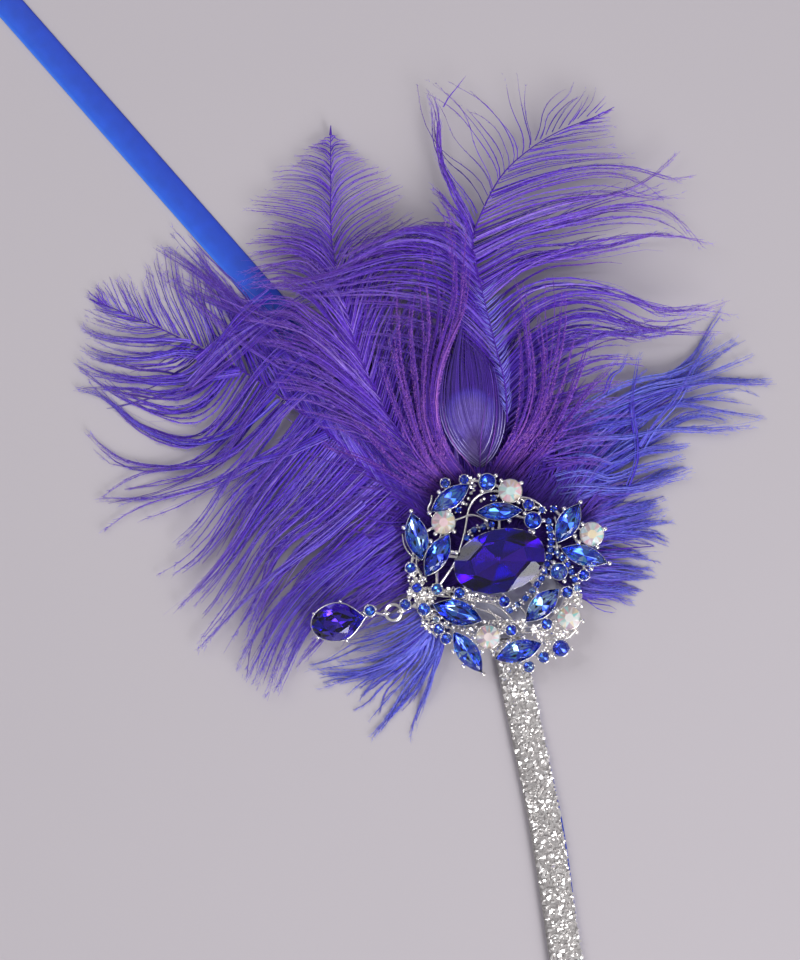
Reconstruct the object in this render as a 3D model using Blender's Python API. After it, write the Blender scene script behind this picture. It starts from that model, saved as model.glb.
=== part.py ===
"""A flapper headband lying flat: satin ribbon, crystal band, openwork brooch with a drop, and dyed plumes.

Blender 4.5, metres, +Z up. The origin is the middle of the brooch on the surface that the headband lies on, +X is
to the right and +Y away from the band's end. The tables are in millimetres, and MM makes them metres.
"""
import math

import bmesh
import bpy
from mathutils import Matrix, Vector
from mathutils.geometry import delaunay_2d_cdt

MM = 0.001
GAP = 0.3

# Heights of the layers, from the surface upwards.
RIBBON_THICK = 1.0
BAND_BOTTOM = RIBBON_THICK + GAP
BAND_THICK = 2.0
PAD_BOTTOM = BAND_BOTTOM + BAND_THICK + GAP
PAD_THICK = 1.2
QUILL_MIDDLE = 6.0
PIN_BOTTOM = PAD_BOTTOM + PAD_THICK + GAP
FRAME_BOTTOM = 7.2
PIN_TOP = FRAME_BOTTOM - GAP
FRAME_TOP = 8.8
WIRE_MIDDLE = 8.0
STONE_BOTTOM = FRAME_TOP + GAP

RIBBON_WIDTH = 9.2
BAND_WIDTH = 10.8
RIBBON_ROUTE = (
    (-165.0, 187.9), (-158.1, 180.0), (-110.6, 126.0), (-73.2, 83.5), (-36.0, 41.1), (-16.0, 18.3),
    (-7.0, 7.8), (-1.6, 0.8), (1.0, -8.0), (3.2, -22.0), (7.4, -45.0), (12.4, -68.0), (16.2, -86.0),
    (19.0, -105.0), (21.8, -127.4), (23.0, -134.5),
)
BAND_ROUTE = (
    (0.3, -3.0), (2.0, -18.0), (5.8, -40.3), (13.5, -77.4), (17.6, -102.0), (21.3, -127.4), (22.5, -135.0),
)
PAD_CENTRE = (0.0, -5.0)
PAD_RADII = (22.0, 19.0)
PIN_Y = -4.0
PIN_HALF_LENGTH = 13.0
PIN_WIDTH = 2.4
BOSS_RADIUS = 2.4

# Stones: name, cut, x, y, turn in degrees, length, width.
STONES = (
    ("big_oval_stone", "oval", -0.3, 1.4, 15, 30.2, 20.5),
    ("marquise_01", "marquise", -16.1, 21.6, 35, 15.2, 6.2),
    ("marquise_02", "marquise", -26.9, 9.2, -77.5, 15.6, 7.2),
    ("marquise_03", "marquise", -20.3, 3.2, 61, 15.6, 7.0),
    ("marquise_04", "marquise", -0.3, 17.3, 2, 15.0, 5.7),
    ("marquise_05", "marquise", 21.8, 13.5, 60, 14.4, 7.0),
    ("marquise_06", "marquise", 27.0, 3.1, -17, 15.6, 6.4),
    ("marquise_07", "marquise", 13.5, -12.9, 45, 15.0, 7.2),
    ("marquise_08", "marquise", 5.9, -27.7, 18, 16.0, 7.0),
    ("marquise_09", "marquise", -10.5, -28.0, -55, 16.0, 7.0),
    ("marquise_10", "marquise", -13.7, -15.3, -18, 16.6, 8.0),
    ("iridescent_round_1", "round", -18.3, 13.8, 10, 7.4, 7.4),
    ("iridescent_round_2", "round", 3.2, 23.9, 0, 7.3, 7.3),
    ("iridescent_round_3", "round", 29.5, 10.0, 20, 7.4, 7.4),
    ("iridescent_round_4", "round", 22.1, -16.9, 5, 7.4, 7.4),
    ("iridescent_round_5", "round", -3.9, -23.1, 15, 7.4, 7.4),
    ("medium_round_1", "round", -4.2, 26.8, 0, 5.2, 5.2),
    ("medium_round_2", "round", 10.5, 14.4, 12, 5.2, 5.2),
    ("medium_round_3", "round", 18.9, -2.1, 24, 5.2, 5.2),
    ("medium_round_4", "round", 19.5, -26.8, 8, 5.2, 5.2),
)

# Small round stones, set lower than the others: x, y, diameter.
SMALL_ROUNDS = (
    (-17.7, 26.4, 3.0), (-11.6, 27.5, 3.0), (9.1, 19.5, 3.4), (27.0, -3.2, 3.3), (21.6, -8.8, 3.5),
    (1.3, -11.7, 3.5), (3.5, -21.0, 3.5), (15.0, -19.0, 3.5), (14.0, -29.7, 3.5), (9.2, -32.8, 3.5),
    (-28.8, -0.9, 3.3), (-26.8, -7.3, 3.2), (-20.4, -7.8, 3.5), (-13.1, -9.0, 3.3), (-30.6, -12.7, 3.3),
    (-24.6, -14.2, 4.0), (-19.8, -20.6, 3.4), (-17.4, -23.7, 3.4),
)

# Tiny stones are one with the rail that carries them: x, y along each rail, and single ones.
INNER_RAIL = (
    (15.7, 14.1), (16.0, 11.8), (16.3, 9.5), (16.4, 7.2), (16.2, 4.9), (15.8, 2.6), (15.2, 0.3), (14.3, -2.0),
    (13.4, -4.3), (12.0, -6.2), (10.3, -8.2), (8.1, -10.7), (5.7, -12.8), (3.2, -14.6),
)
OUTER_RAIL = ((18.3, 4.0), (20.0, 2.3), (21.8, 0.2), (23.0, -2.2), (24.1, -4.7), (24.9, -7.5))
UPPER_RAIL = ((-10.8, 8.8), (-8.5, 11.3), (-5.6, 12.4), (-2.7, 13.1))
SINGLE_TINY = (
    (-13.6, 17.8), (-2.1, 21.6), (13.4, 17.8), (17.2, 18.1), (-20.7, -17.6),
)
RAIL_WIDTH = 1.6
TINY_RADIUS = 1.05
TINY_TOP = 10.2

# Silver branches between the stones, one smooth wire each.
BRANCHES = (
    ((0.6, 23.8), (-3.2, 23.8), (-6.2, 22.8), (-8.7, 20.8), (-10.0, 18.3), (-10.6, 15.8), (-11.2, 12.0),
     (-12.1, 8.0), (-13.6, 3.2), (-15.4, -0.6), (-17.6, -3.8), (-20.4, -7.8)),
    ((-17.0, 13.8), (-13.6, 14.8), (-10.6, 15.8), (-8.2, 16.0), (-5.8, 15.1), (-4.1, 13.8)),
    ((-22.0, 22.4), (-22.3, 20.3), (-23.2, 18.2), (-22.6, 16.3), (-20.4, 14.2)),
    ((6.0, 22.0), (9.6, 21.4), (12.6, 19.6), (15.0, 17.4)),
    ((17.6, 15.6), (18.4, 12.0), (18.2, 7.2), (18.3, 4.0)),
    ((-8.6, -13.6), (-3.6, -15.2), (0.4, -17.4), (3.5, -21.0), (8.4, -21.8), (12.4, -21.4), (15.0, -19.0)),
    ((-13.1, -9.0), (-8.4, -10.8), (-3.4, -11.4), (1.3, -11.7), (3.2, -14.6)),
    ((15.0, -19.0), (17.4, -22.6), (19.5, -26.8)),
)
BRANCH_WIDTH = 1.3

# Straight bars under the stones, from seat to seat.
STRUTS = (
    ("big_oval_stone", "marquise_04"), ("big_oval_stone", "small_round_14"),
    ("big_oval_stone", "small_round_06"), ("big_oval_stone", "marquise_03"),
    ("marquise_01", "small_round_01"), ("marquise_01", "small_round_02"),
    ("marquise_01", "iridescent_round_1"), ("small_round_02", "medium_round_1"),
    ("medium_round_1", "iridescent_round_2"), ("iridescent_round_2", "marquise_04"),
    ("iridescent_round_2", "small_round_03"), ("marquise_04", "medium_round_2"),
    ("marquise_05", "iridescent_round_3"), ("marquise_05", "marquise_06"),
    ("iridescent_round_3", "marquise_06"), ("marquise_06", "small_round_04"),
    ("small_round_05", "iridescent_round_4"), ("marquise_07", "small_round_05"),
    ("marquise_07", "small_round_08"), ("small_round_08", "iridescent_round_4"),
    ("medium_round_4", "small_round_09"), ("small_round_09", "marquise_08"),
    ("marquise_08", "small_round_10"), ("marquise_08", "iridescent_round_5"),
    ("small_round_07", "iridescent_round_5"), ("marquise_08", "small_round_07"),
    ("iridescent_round_5", "marquise_09"), ("iridescent_round_5", "marquise_10"),
    ("marquise_09", "small_round_18"), ("small_round_18", "small_round_17"),
    ("small_round_17", "marquise_10"), ("small_round_16", "marquise_10"),
    ("small_round_16", "small_round_15"), ("small_round_15", "small_round_12"),
    ("small_round_12", "small_round_11"), ("small_round_11", "marquise_02"),
    ("small_round_12", "small_round_13"), ("small_round_13", "small_round_14"),
    ("small_round_14", "marquise_10"), ("marquise_03", "small_round_13"),
    ("marquise_03", "marquise_02"), ("marquise_03", "iridescent_round_1"),
    ("marquise_02", "iridescent_round_1"), ("small_round_16", "small_round_13"),
)
# Further bars, from a seat to a point of a rail or to a tiny stone.
STRUTS_TO_POINT = (
    ("medium_round_2", (15.7, 14.1)), ("medium_round_3", (15.2, 0.3)), ("medium_round_3", (23.0, -2.2)),
    ("small_round_05", (24.9, -7.5)), ("small_round_04", (24.1, -4.7)), ("big_oval_stone", (15.2, 0.3)),
    ("big_oval_stone", (-10.8, 8.8)), ("big_oval_stone", (-2.7, 13.1)), ("marquise_07", (10.3, -8.2)),
    ("small_round_03", (13.4, 17.8)), ("marquise_05", (17.2, 18.1)), ("marquise_05", (16.3, 9.5)),
    ("marquise_01", (-13.6, 17.8)), ("iridescent_round_2", (-2.1, 21.6)), ("marquise_10", (-20.7, -17.6)),
    ("medium_round_2", (13.4, 17.8)), ("marquise_06", (20.0, 2.3)),
)
STRUT_WIDTH = 1.5

# Prongs of the round stones: name and the directions of the prongs in degrees.
ROUND_PRONGS = {
    "iridescent_round_1": (64, 319, 235),
    "iridescent_round_2": (131, 36, 306),
    "iridescent_round_3": (22, 292, 134),
    "iridescent_round_4": (345, 250, 145),
    "iridescent_round_5": (180, 20, 285),
    "medium_round_1": (140, 37, 240),
    "medium_round_2": (255, 0, 140),
    "medium_round_3": (120, 300, 210),
    "medium_round_4": (0, 235, 120),
}
# Prongs of the marquises: name and, for each prong, its place along the stone and its side, or 0 for a tip.
MARQUISE_PRONGS = {
    "marquise_01": ((-2.0, 1), (2.5, -1), (-1, 0)),
    "marquise_02": ((-3.9, -1), (2.5, 1), (-1, 0)),
    "marquise_03": ((3.3, -1), (-1, 0)),
    "marquise_04": ((-4.5, -1), (3.2, -1)),
    "marquise_05": ((3.6, 1), (-2.6, -1), (1, 0)),
    "marquise_06": ((-3.0, 1), (3.5, -1), (1, 0)),
    "marquise_07": ((2.0, 1), (1.5, -1), (-1, 0)),
    "marquise_08": ((-2.5, 1), (3.0, 1), (-1.0, -1)),
    "marquise_09": ((-3.0, -1), (3.0, -1), (2.5, 1), (1, 0)),
    "marquise_10": ((-3.0, 1), (4.0, 1), (0.0, -1), (1, 0)),
}
BIG_STONE_PRONGS = (35, 145, 215, 325)
PRONG_RADIUS = 0.42
PRONG_REACH = 0.95

# The drop, left of the brooch.
DROP_CENTRE = (-52.2, -18.3)
DROP_TURN = 9.5
DROP_LENGTH = 17.3
DROP_WIDTH = 12.1
DROP_PLATE_BOTTOM = 5.9
DROP_PLATE_TOP = 7.0
DROP_ROUND = (-42.0, -14.7, 3.3)
RING_CENTRE = (-34.4, -15.3)
RING_RADIUS = 2.6
RING_WIRE = 0.45
LOOP_RADIUS = 1.35
LOOP_WIRE = 0.4
LOOP_TURN = 9.0
LINK_HEIGHT = 8.1

# Plumes: height of the lock layer, height of the tips, where the rise starts and ends and where the fall starts
# and ends, as distances from the middle of the brooch, then the quill's route and the web of short barbs along it
# as places along the quill and a width. Each lock has its place along the quill, a middle point, a tip and a width.
LOCK_THICK = 1.0
LOCK_RIDGE = 0.35
QUILL_RIDGE = 0.55
QUILL_WIDTH = 2.2
PLUMES = {
    "plume_left": {
        "heights": (3.6, 0.5),
        "rise": (34, 58),
        "fall": (92, 125),
        "quill": ((-11, 7), (-20, 13), (-38, 26), (-55, 42), (-75, 57.5), (-92, 67.5), (-110, 76.5),
                  (-124, 82.5), (-133, 86)),
        "web": (0.22, 0.97, 24),
        "locks": (
            (0.24, (-57, -2), (-74, -41), 13), (0.30, (-66, 4), (-84, -36), 13),
            (0.36, (-74, 14), (-96, -30), 13), (0.44, (-82, 24), (-108, -19), 12),
            (0.48, (-92, 16), (-121, -6), 4), (0.52, (-98, 27), (-133, 19), 11),
            (0.58, (-104, 34), (-136, 44), 10), (0.64, (-108, 43), (-137, 62), 11),
            (0.70, (-112, 56), (-139, 56), 8), (0.77, (-118, 62), (-138, 66), 7),
            (0.85, (-122, 71), (-137, 71), 6), (0.91, (-127, 78), (-136, 79), 6),
            (0.90, (-124, 90), (-126, 97), 6), (0.81, (-111, 90), (-115, 104), 6),
            (0.73, (-101, 88), (-106, 104), 7), (0.60, (-93, 85), (-115, 96), 7),
            (0.50, (-86, 83), (-107, 112), 5),
        ),
    },
    "plume_top_mid": {
        "heights": (7.6, 2.2),
        "rise": (34, 56),
        "fall": (95, 150),
        "quill": ((-8, 12), (-15, 21), (-26, 34), (-34, 44), (-45, 66), (-52.5, 91), (-54.6, 108),
                  (-54.7, 125), (-54.8, 140)),
        "web": (0.25, 0.98, 22),
        "locks": (
            (0.95, (-60, 135), (-65, 136), 5), (0.88, (-66, 127), (-75, 128), 6),
            (0.81, (-67, 117), (-79, 119), 8), (0.75, (-71, 110), (-86, 114), 9),
            (0.69, (-70, 102), (-87, 104), 9), (0.62, (-72, 91), (-90, 86), 10),
            (0.54, (-68, 78), (-88, 76), 11), (0.45, (-60, 64), (-80, 60), 11),
            (0.95, (-50, 135), (-46, 136), 5), (0.87, (-46, 127), (-33, 128), 8),
            (0.79, (-42, 117), (-28, 125), 8), (0.70, (-38, 104), (-18, 121), 9),
            (0.60, (-34, 95), (-14, 108), 10), (0.48, (-30, 76), (-16, 88), 10),
        ),
    },
    "plume_top_right": {
        "heights": (10.6, 3.9),
        "rise": (31, 50),
        "fall": (95, 165),
        "quill": ((1, 13), (1, 25), (1.8, 42), (1.5, 57), (-2, 72), (-6, 88), (-9, 102), (-7.5, 110),
                  (0, 125), (10, 134.5), (20, 140.5), (30, 144.5), (37, 148)),
        "web": (0.12, 0.98, 20),
        "locks": (
            (0.62, (-19, 129), (-27, 160), 8), (0.68, (-11, 136), (-20, 151), 7),
            (0.74, (-5, 141), (-17, 156), 6), (0.79, (3, 143), (-0.5, 162), 5),
            (0.83, (9.5, 146), (6, 160), 5), (0.87, (16, 147), (22, 154), 6),
            (0.94, (29, 150), (32, 155), 5), (0.55, (-22, 109), (-45, 100), 11),
            (0.48, (-22, 96), (-42, 86), 11), (0.92, (31, 141.5), (39, 143), 5),
            (0.86, (28, 137), (41, 138), 6), (0.79, (25, 131), (47, 132), 8),
            (0.73, (24, 126), (57, 111), 7), (0.68, (25, 119), (62, 121), 7),
            (0.63, (24, 113), (54, 134), 6), (0.59, (26, 106), (66, 99), 8),
            (0.55, (27, 99), (70, 103), 9), (0.48, (24, 91), (54, 81), 9), (0.41, (24, 83), (74, 85), 11),
            (0.34, (24, 73), (73, 74), 10), (0.27, (22, 58), (46, 60), 12), (0.20, (22, 43), (44, 47), 12),
            (0.14, (22, 31), (40, 30), 8),
        ),
    },
    "plume_right": {
        "heights": (3.0, 0.5),
        "rise": (33, 54),
        "fall": (78, 98),
        "quill": ((8, 10), (18, 21), (33, 36), (50, 50), (62, 58)),
        "web": (0.30, 0.78, 18),
        "locks": (
            (0.50, (53, 63), (74, 85), 9), (0.55, (57, 62), (79, 75), 8), (0.60, (62, 62), (84, 67.5), 8),
            (0.70, (68, 59), (90, 58.5), 8), (0.70, (67, 54), (87, 54), 6), (0.60, (63, 49), (87, 47), 8),
            (0.50, (57, 42), (84, 45), 8),
        ),
    },
    "plume_low_right": {
        "heights": (0.5, 0.5),
        "rise": (27, 46),
        "fall": (90, 100),
        "quill": ((13, 3), (24, 4), (38, 5), (50, 6)),
        "web": (0.35, 0.95, 20),
        "locks": (
            (0.50, (45, 28), (62, 39.5), 5), (0.55, (46, 24), (61, 34.5), 5), (0.60, (47, 20), (64, 31), 5),
            (0.60, (44, 16), (54, 22), 6), (0.70, (47, 12.5), (57.5, 13.5), 6), (0.80, (51, 8), (58, 8.5), 5),
            (0.70, (46, 3), (56, 3.5), 6), (0.60, (44, -1), (52, -3.5), 6), (0.50, (40, -5), (50, -8), 6),
            (0.40, (34, -8), (44, -14), 6), (0.30, (28, -8), (37, -13), 5),
        ),
    },
    "plume_low_left": {
        "heights": (0.5, 0.5),
        "rise": (36, 56),
        "fall": (90, 100),
        "quill": ((-10, -8), (-18, -15), (-27, -24), (-36, -33)),
        "web": (0.5, 0.97, 12),
        "locks": (
            (0.50, (-44, -29), (-63, -33.5), 5), (0.62, (-47, -34), (-68, -35.5), 4),
            (0.72, (-48, -38), (-64, -41.5), 5), (0.80, (-41, -39), (-47, -49), 5),
            (0.70, (-37, -42), (-53, -51.5), 4), (0.66, (-33, -43), (-43.5, -57.5), 6),
            (0.58, (-29, -40), (-36, -50), 5), (0.50, (-25, -40), (-28.5, -62), 5),
        ),
    },
    "plume_peacock": {
        "heights": (14.0, 14.0),
        "rise": (30, 44),
        "fall": (110, 120),
        "quill": ((-3.5, 13), (-5.5, 24), (-6.5, 34), (-8, 45), (-9.5, 58), (-11, 72)),
        "web": (0.30, 0.90, 9),
        "locks": (
            (0.46, (-9.5, 56), (-11, 79), 17), (0.36, (-25, 48), (-31, 80), 7),
            (0.40, (-21, 54), (-12, 88), 6), (0.30, (-32, 38), (-49, 60), 5),
            (0.40, (7, 54), (4, 88), 6), (0.36, (14, 46), (15, 88), 6), (0.36, (19, 46), (29, 84), 6),
            (0.33, (20, 44), (40, 70), 4),
        ),
    },
}

# Colour, roughness and metallic value of each finish.
FINISHES = {
    "silver": ((0.80, 0.80, 0.82), 0.22, 1.0),
    "sapphire": ((0.02, 0.04, 0.62), 0.08, 0.0),
    "iridescent": ((0.85, 0.80, 0.82), 0.08, 0.0),
    "satin": ((0.02, 0.10, 0.62), 0.40, 0.0),
    "crystal_chips": ((0.72, 0.72, 0.74), 0.30, 0.4),
    "pad_cloth": ((0.36, 0.36, 0.40), 0.70, 0.0),
    "ostrich": ((0.09, 0.05, 0.50), 0.75, 0.0),
    "peacock": ((0.20, 0.05, 0.36), 0.70, 0.0),
}


def start_empty():
    """Removes every object, and makes the collections and the materials."""
    for old in list(bpy.data.objects):
        bpy.data.objects.remove(old)
    for name in ("flapper_headband", "cutters"):
        bpy.context.scene.collection.children.link(bpy.data.collections.new(name))
    for name, (colour, roughness, metallic) in FINISHES.items():
        made = bpy.data.materials.new(name)
        made.use_nodes = True
        shader = made.node_tree.nodes["Principled BSDF"]
        shader.inputs["Base Color"].default_value = (*colour, 1.0)
        shader.inputs["Roughness"].default_value = roughness
        shader.inputs["Metallic"].default_value = metallic


def add_piece(name, mesh, finish):
    """Puts one sub-part in the headband's collection, with its finish."""
    mesh.materials.clear()
    mesh.materials.append(bpy.data.materials[finish])
    piece = bpy.data.objects.new(name, mesh)
    bpy.data.collections["flapper_headband"].objects.link(piece)
    return piece


def mesh_from(bm, name):
    """Ends a bmesh with its normals outward and gives its mesh."""
    bmesh.ops.recalc_face_normals(bm, faces=bm.faces)
    mesh = bpy.data.meshes.new(name)
    bm.to_mesh(mesh)
    bm.free()
    return mesh


def smooth_route(points, steps):
    """Points on a Catmull-Rom curve through the given points, steps of them for each stretch."""
    ends = [tuple(2 * a - b for a, b in zip(points[0], points[1]))]
    ends += list(points)
    ends.append(tuple(2 * a - b for a, b in zip(points[-1], points[-2])))
    route = []
    for before, start, stop, after in zip(ends, ends[1:], ends[2:], ends[3:]):
        for step in range(steps):
            t = step / steps
            route.append(tuple(
                0.5 * (2 * s + (e - b) * t + (2 * b - 5 * s + 4 * e - a) * t**2 + (3 * s - 3 * e + a - b) * t**3)
                for b, s, e, a in zip(before, start, stop, after)
            ))
    route.append(tuple(points[-1]))
    return route


def point_along(route, share):
    """The point at a share of a route's length."""
    lengths = [math.dist(a, b) for a, b in zip(route, route[1:])]
    left = share * sum(lengths)
    for start, stop, length in zip(route, route[1:], lengths):
        if left <= length:
            return tuple(a + (b - a) * left / length for a, b in zip(start, stop))
        left -= length
    return route[-1]


def loft(rings):
    """A closed solid through rings of equally many points, in millimetres."""
    bm = bmesh.new()
    made = [[bm.verts.new(Vector(point) * MM) for point in ring] for ring in rings]
    for low, high in zip(made, made[1:]):
        count = len(low)
        for i in range(count):
            bm.faces.new((low[i], low[(i + 1) % count], high[(i + 1) % count], high[i]))
    bm.faces.new(made[0])
    bm.faces.new(made[-1])
    return bm


def tube(points, radius, detail=1):
    """A round wire through the points, as a mesh with its caps welded."""
    curve = bpy.data.curves.new("wire", "CURVE")
    curve.dimensions = "3D"
    curve.bevel_depth = radius * MM
    curve.bevel_resolution = detail
    curve.use_fill_caps = True
    spline = curve.splines.new("POLY")
    spline.points.add(len(points) - 1)
    for spot, place in zip(spline.points, points):
        spot.co = (*(Vector(place) * MM), 1.0)
    wire = bpy.data.objects.new("wire", curve)
    bpy.context.scene.collection.objects.link(wire)
    bpy.context.view_layer.update()
    ready = wire.evaluated_get(bpy.context.evaluated_depsgraph_get())
    mesh = bpy.data.meshes.new_from_object(ready)
    bpy.data.objects.remove(wire)
    bm = bmesh.new()
    bm.from_mesh(mesh)
    bmesh.ops.remove_doubles(bm, verts=bm.verts, dist=0.00001)
    return mesh_from(bm, "wire")


def ring_mesh(centre, radius, wire, turn, upright, around=12, sides=6):
    """A round ring of wire, lying flat or standing upright in the direction of turn."""
    bpy.ops.mesh.primitive_torus_add(
        major_segments=around, minor_segments=sides, major_radius=radius * MM, minor_radius=wire * MM
    )
    ring = bpy.context.object
    mesh = ring.data
    bpy.data.objects.remove(ring)
    tilt = Matrix.Rotation(math.radians(90.0 if upright else 0.0), 4, "X")
    mesh.transform(Matrix.Translation(Vector(centre) * MM) @ Matrix.Rotation(math.radians(turn), 4, "Z") @ tilt)
    return mesh


def fuse(name, meshes, finish):
    """Joins overlapping solids into one body with a Boolean union."""
    whole = add_piece(name, meshes[0], finish)
    bm = bmesh.new()
    for mesh in meshes[1:]:
        bm.from_mesh(mesh)
    rest = bpy.data.objects.new(name + "_rest", mesh_from(bm, name + "_rest"))
    rest.hide_render = True
    rest.display_type = "WIRE"
    bpy.data.collections["cutters"].objects.link(rest)
    union = whole.modifiers.new("union", "BOOLEAN")
    union.operation = "UNION"
    union.solver = "EXACT"
    union.use_self = True
    union.object = rest
    bpy.context.view_layer.update()
    ready = whole.evaluated_get(bpy.context.evaluated_depsgraph_get())
    joined = bpy.data.meshes.new_from_object(ready)
    whole.modifiers.clear()
    bpy.data.objects.remove(rest)
    bm = bmesh.new()
    bm.from_mesh(joined)
    bmesh.ops.remove_doubles(bm, verts=bm.verts, dist=0.000002)
    bmesh.ops.dissolve_limit(bm, angle_limit=math.radians(0.4), verts=bm.verts, edges=bm.edges)
    bmesh.ops.triangulate(bm, faces=bm.faces)
    bm.to_mesh(joined)
    bm.free()
    whole.data = joined
    joined.materials.clear()
    joined.materials.append(bpy.data.materials[finish])
    return whole


def flat_strip(route, width, bottom, thick, crown=0.0):
    """A flat strap along a route in the plane, with an optional raised middle."""
    rings = []
    for i, (x, y) in enumerate(route):
        before = route[max(i - 1, 0)]
        after = route[min(i + 1, len(route) - 1)]
        side = Vector((before[1] - after[1], after[0] - before[0])).normalized() * width / 2
        top = bottom + thick
        rings.append((
            (x - side.x, y - side.y, bottom), (x + side.x, y + side.y, bottom),
            (x + side.x, y + side.y, top - crown), (x, y, top), (x - side.x, y - side.y, top - crown),
        ))
    return loft(rings)


def outline(cut, sides, length, width):
    """The girdle of a stone about its middle: oval and round are ellipses, a marquise two arcs, a drop both."""
    points = []
    for i in range(sides):
        angle = 2 * math.pi * i / sides
        x = math.cos(angle)
        y = math.sin(angle)
        if cut == "marquise":
            y = math.copysign(1.0 - x**2, y) if abs(y) > 0.001 else 0.0
        if cut == "drop" and x > 0:
            y *= math.cos(x * math.pi / 2) ** 0.55 if x < 0.999 else 0.0
        points.append((x * length / 2, y * width / 2))
    return points


def strip(route, width):
    """The outline of a flat strip along a route."""
    left = []
    right = []
    for i, (x, y) in enumerate(route):
        before = route[max(i - 1, 0)]
        after = route[min(i + 1, len(route) - 1)]
        side = Vector((before[1] - after[1], after[0] - before[0])).normalized() * width / 2
        left.append((x + side.x, y + side.y))
        right.append((x - side.x, y - side.y))
    return right + left[::-1]


def is_open(corners):
    """Whether a triangle is more than a sliver."""
    a, b, c = corners
    area = abs((b - a).cross(c - a)) / 2
    return area > 0.001 * max((b - a).length, (c - b).length, (a - c).length)


def flat_union(polygons, lines=()):
    """Overlapping outlines joined in the plane, in millimetres, with lines kept inside them."""
    points = []
    edges = []
    faces = []
    for polygon in polygons:
        corners = [Vector(point) for point in polygon]
        area = sum(a.x * b.y - a.y * b.x for a, b in zip(corners, corners[1:] + corners[:1]))
        faces.append(list(range(len(points), len(points) + len(corners))))
        points.extend(corners if area > 0 else corners[::-1])
    for line in lines:
        edges.extend((len(points) + i, len(points) + i + 1) for i in range(len(line) - 1))
        points.extend(Vector(point) for point in line)
    spots, _, pieces, _, _, sources = delaunay_2d_cdt(points, edges, faces, 0, 0.0005)
    bm = bmesh.new()
    made = [bm.verts.new((spot.x, spot.y, 0.0)) for spot in spots]
    for piece, source in zip(pieces, sources):
        if source and is_open([spots[i] for i in piece]):
            bm.faces.new([made[i] for i in piece])
    loose = [vert for vert in bm.verts if not vert.link_faces]
    bmesh.ops.delete(bm, geom=loose, context="VERTS")
    return bm


def merged_faces(polygons):
    """The outlines of a union as few polygons, without the points inside it."""
    bm = flat_union(polygons)
    bmesh.ops.remove_doubles(bm, verts=bm.verts, dist=0.08)
    bmesh.ops.dissolve_limit(bm, angle_limit=0.001, verts=bm.verts, edges=bm.edges)
    faces = [[(vert.co.x, vert.co.y) for vert in face.verts] for face in bm.faces]
    bm.free()
    return faces


def thicken(bm, low, high, name):
    """Makes a flat surface a plate between two heights, each a function of the place."""
    bmesh.ops.triangulate(bm, faces=bm.faces)
    foot = set(bm.verts)
    bmesh.ops.extrude_face_region(bm, geom=bm.faces[:])
    for vert in bm.verts:
        x, y = vert.co.x, vert.co.y
        height = low(x, y) if vert in foot else high(x, y)
        vert.co = Vector((x, y, height)) * MM
    return mesh_from(bm, name)


def placed(points, x, y, turn, z):
    """An outline turned and moved to its place at a height."""
    c = math.cos(math.radians(turn))
    s = math.sin(math.radians(turn))
    return [(x + px * c - py * s, y + px * s + py * c, z) for px, py in points]


def scaled(points, share):
    """An outline drawn in towards its middle."""
    return [(px * share, py * share) for px, py in points]


CUTS = {
    # sides of the girdle, then levels as (share of the outline, share of the height)
    "big": (16, ((0.55, 0.0), (1.0, 0.40), (1.0, 0.47), (0.84, 0.74), (0.60, 1.0))),
    "fancy": (12, ((0.55, 0.0), (1.0, 0.45), (0.56, 1.0))),
    "plain": (8, ((0.60, 0.0), (1.0, 0.50), (0.58, 1.0))),
}


def cut_stone(cut, x, y, turn, length, width, bottom, height):
    """A faceted stone with a flat table, its facets turned against the girdle."""
    kind = "big" if length > 17 else "fancy" if length > 5 else "plain"
    sides, levels = CUTS[kind]
    rings = []
    for share, rise in levels:
        girdle = outline(cut, sides, length, width)
        rings.append(placed(scaled(girdle, share), x, y, turn, bottom + rise * height))
    bm = loft(rings)
    slanted = [face for face in bm.faces if len(face.verts) == 4]
    bmesh.ops.triangulate(bm, faces=slanted, quad_method="ALTERNATE")
    return mesh_from(bm, "stone")


def prong(x, y, to_x, to_y, girdle_height):
    """A bent wire from under a stone, out past its girdle and up."""
    start = (x + (to_x - x) * 0.4, y + (to_y - y) * 0.4, WIRE_MIDDLE)
    elbow = (to_x, to_y, WIRE_MIDDLE + 1.7)
    top = (to_x, to_y, girdle_height + 0.9)
    return tube((start, elbow, top), PRONG_RADIUS, 0)


def lift(plume, x, y):
    """The height of a plume's middle surface at a place."""
    layer, tips = plume["heights"]
    reach = math.hypot(x, y)
    rise = min(max((reach - plume["rise"][0]) / (plume["rise"][1] - plume["rise"][0]), 0.0), 1.0)
    fall = min(max((reach - plume["fall"][0]) / (plume["fall"][1] - plume["fall"][0]), 0.0), 1.0)
    rise = rise * rise * (3.0 - 2.0 * rise)
    fall = fall * fall * (3.0 - 2.0 * fall)
    return QUILL_MIDDLE + (layer - QUILL_MIDDLE) * rise + (tips - layer) * fall


def lock_outline(base, control, tip, width):
    """The leaf-shaped outline of a lock of barbs, and the points along its middle."""
    left = []
    right = []
    ridge = []
    for t, share in ((0.0, 0.35), (0.40, 1.0), (0.72, 0.70)):
        x, y = (b * (1 - t) ** 2 + 2 * c * t * (1 - t) + e * t**2 for b, c, e in zip(base, control, tip))
        along = Vector([(c - b) * (1 - t) + (e - c) * t for b, c, e in zip(base, control, tip)]).normalized()
        side = Vector((-along.y, along.x)) * width / 2 * share
        left.append((x + side.x, y + side.y))
        right.append((x - side.x, y - side.y))
        ridge.append((x, y))
    return right + [tip] + left[::-1], ridge[1:]


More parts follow.
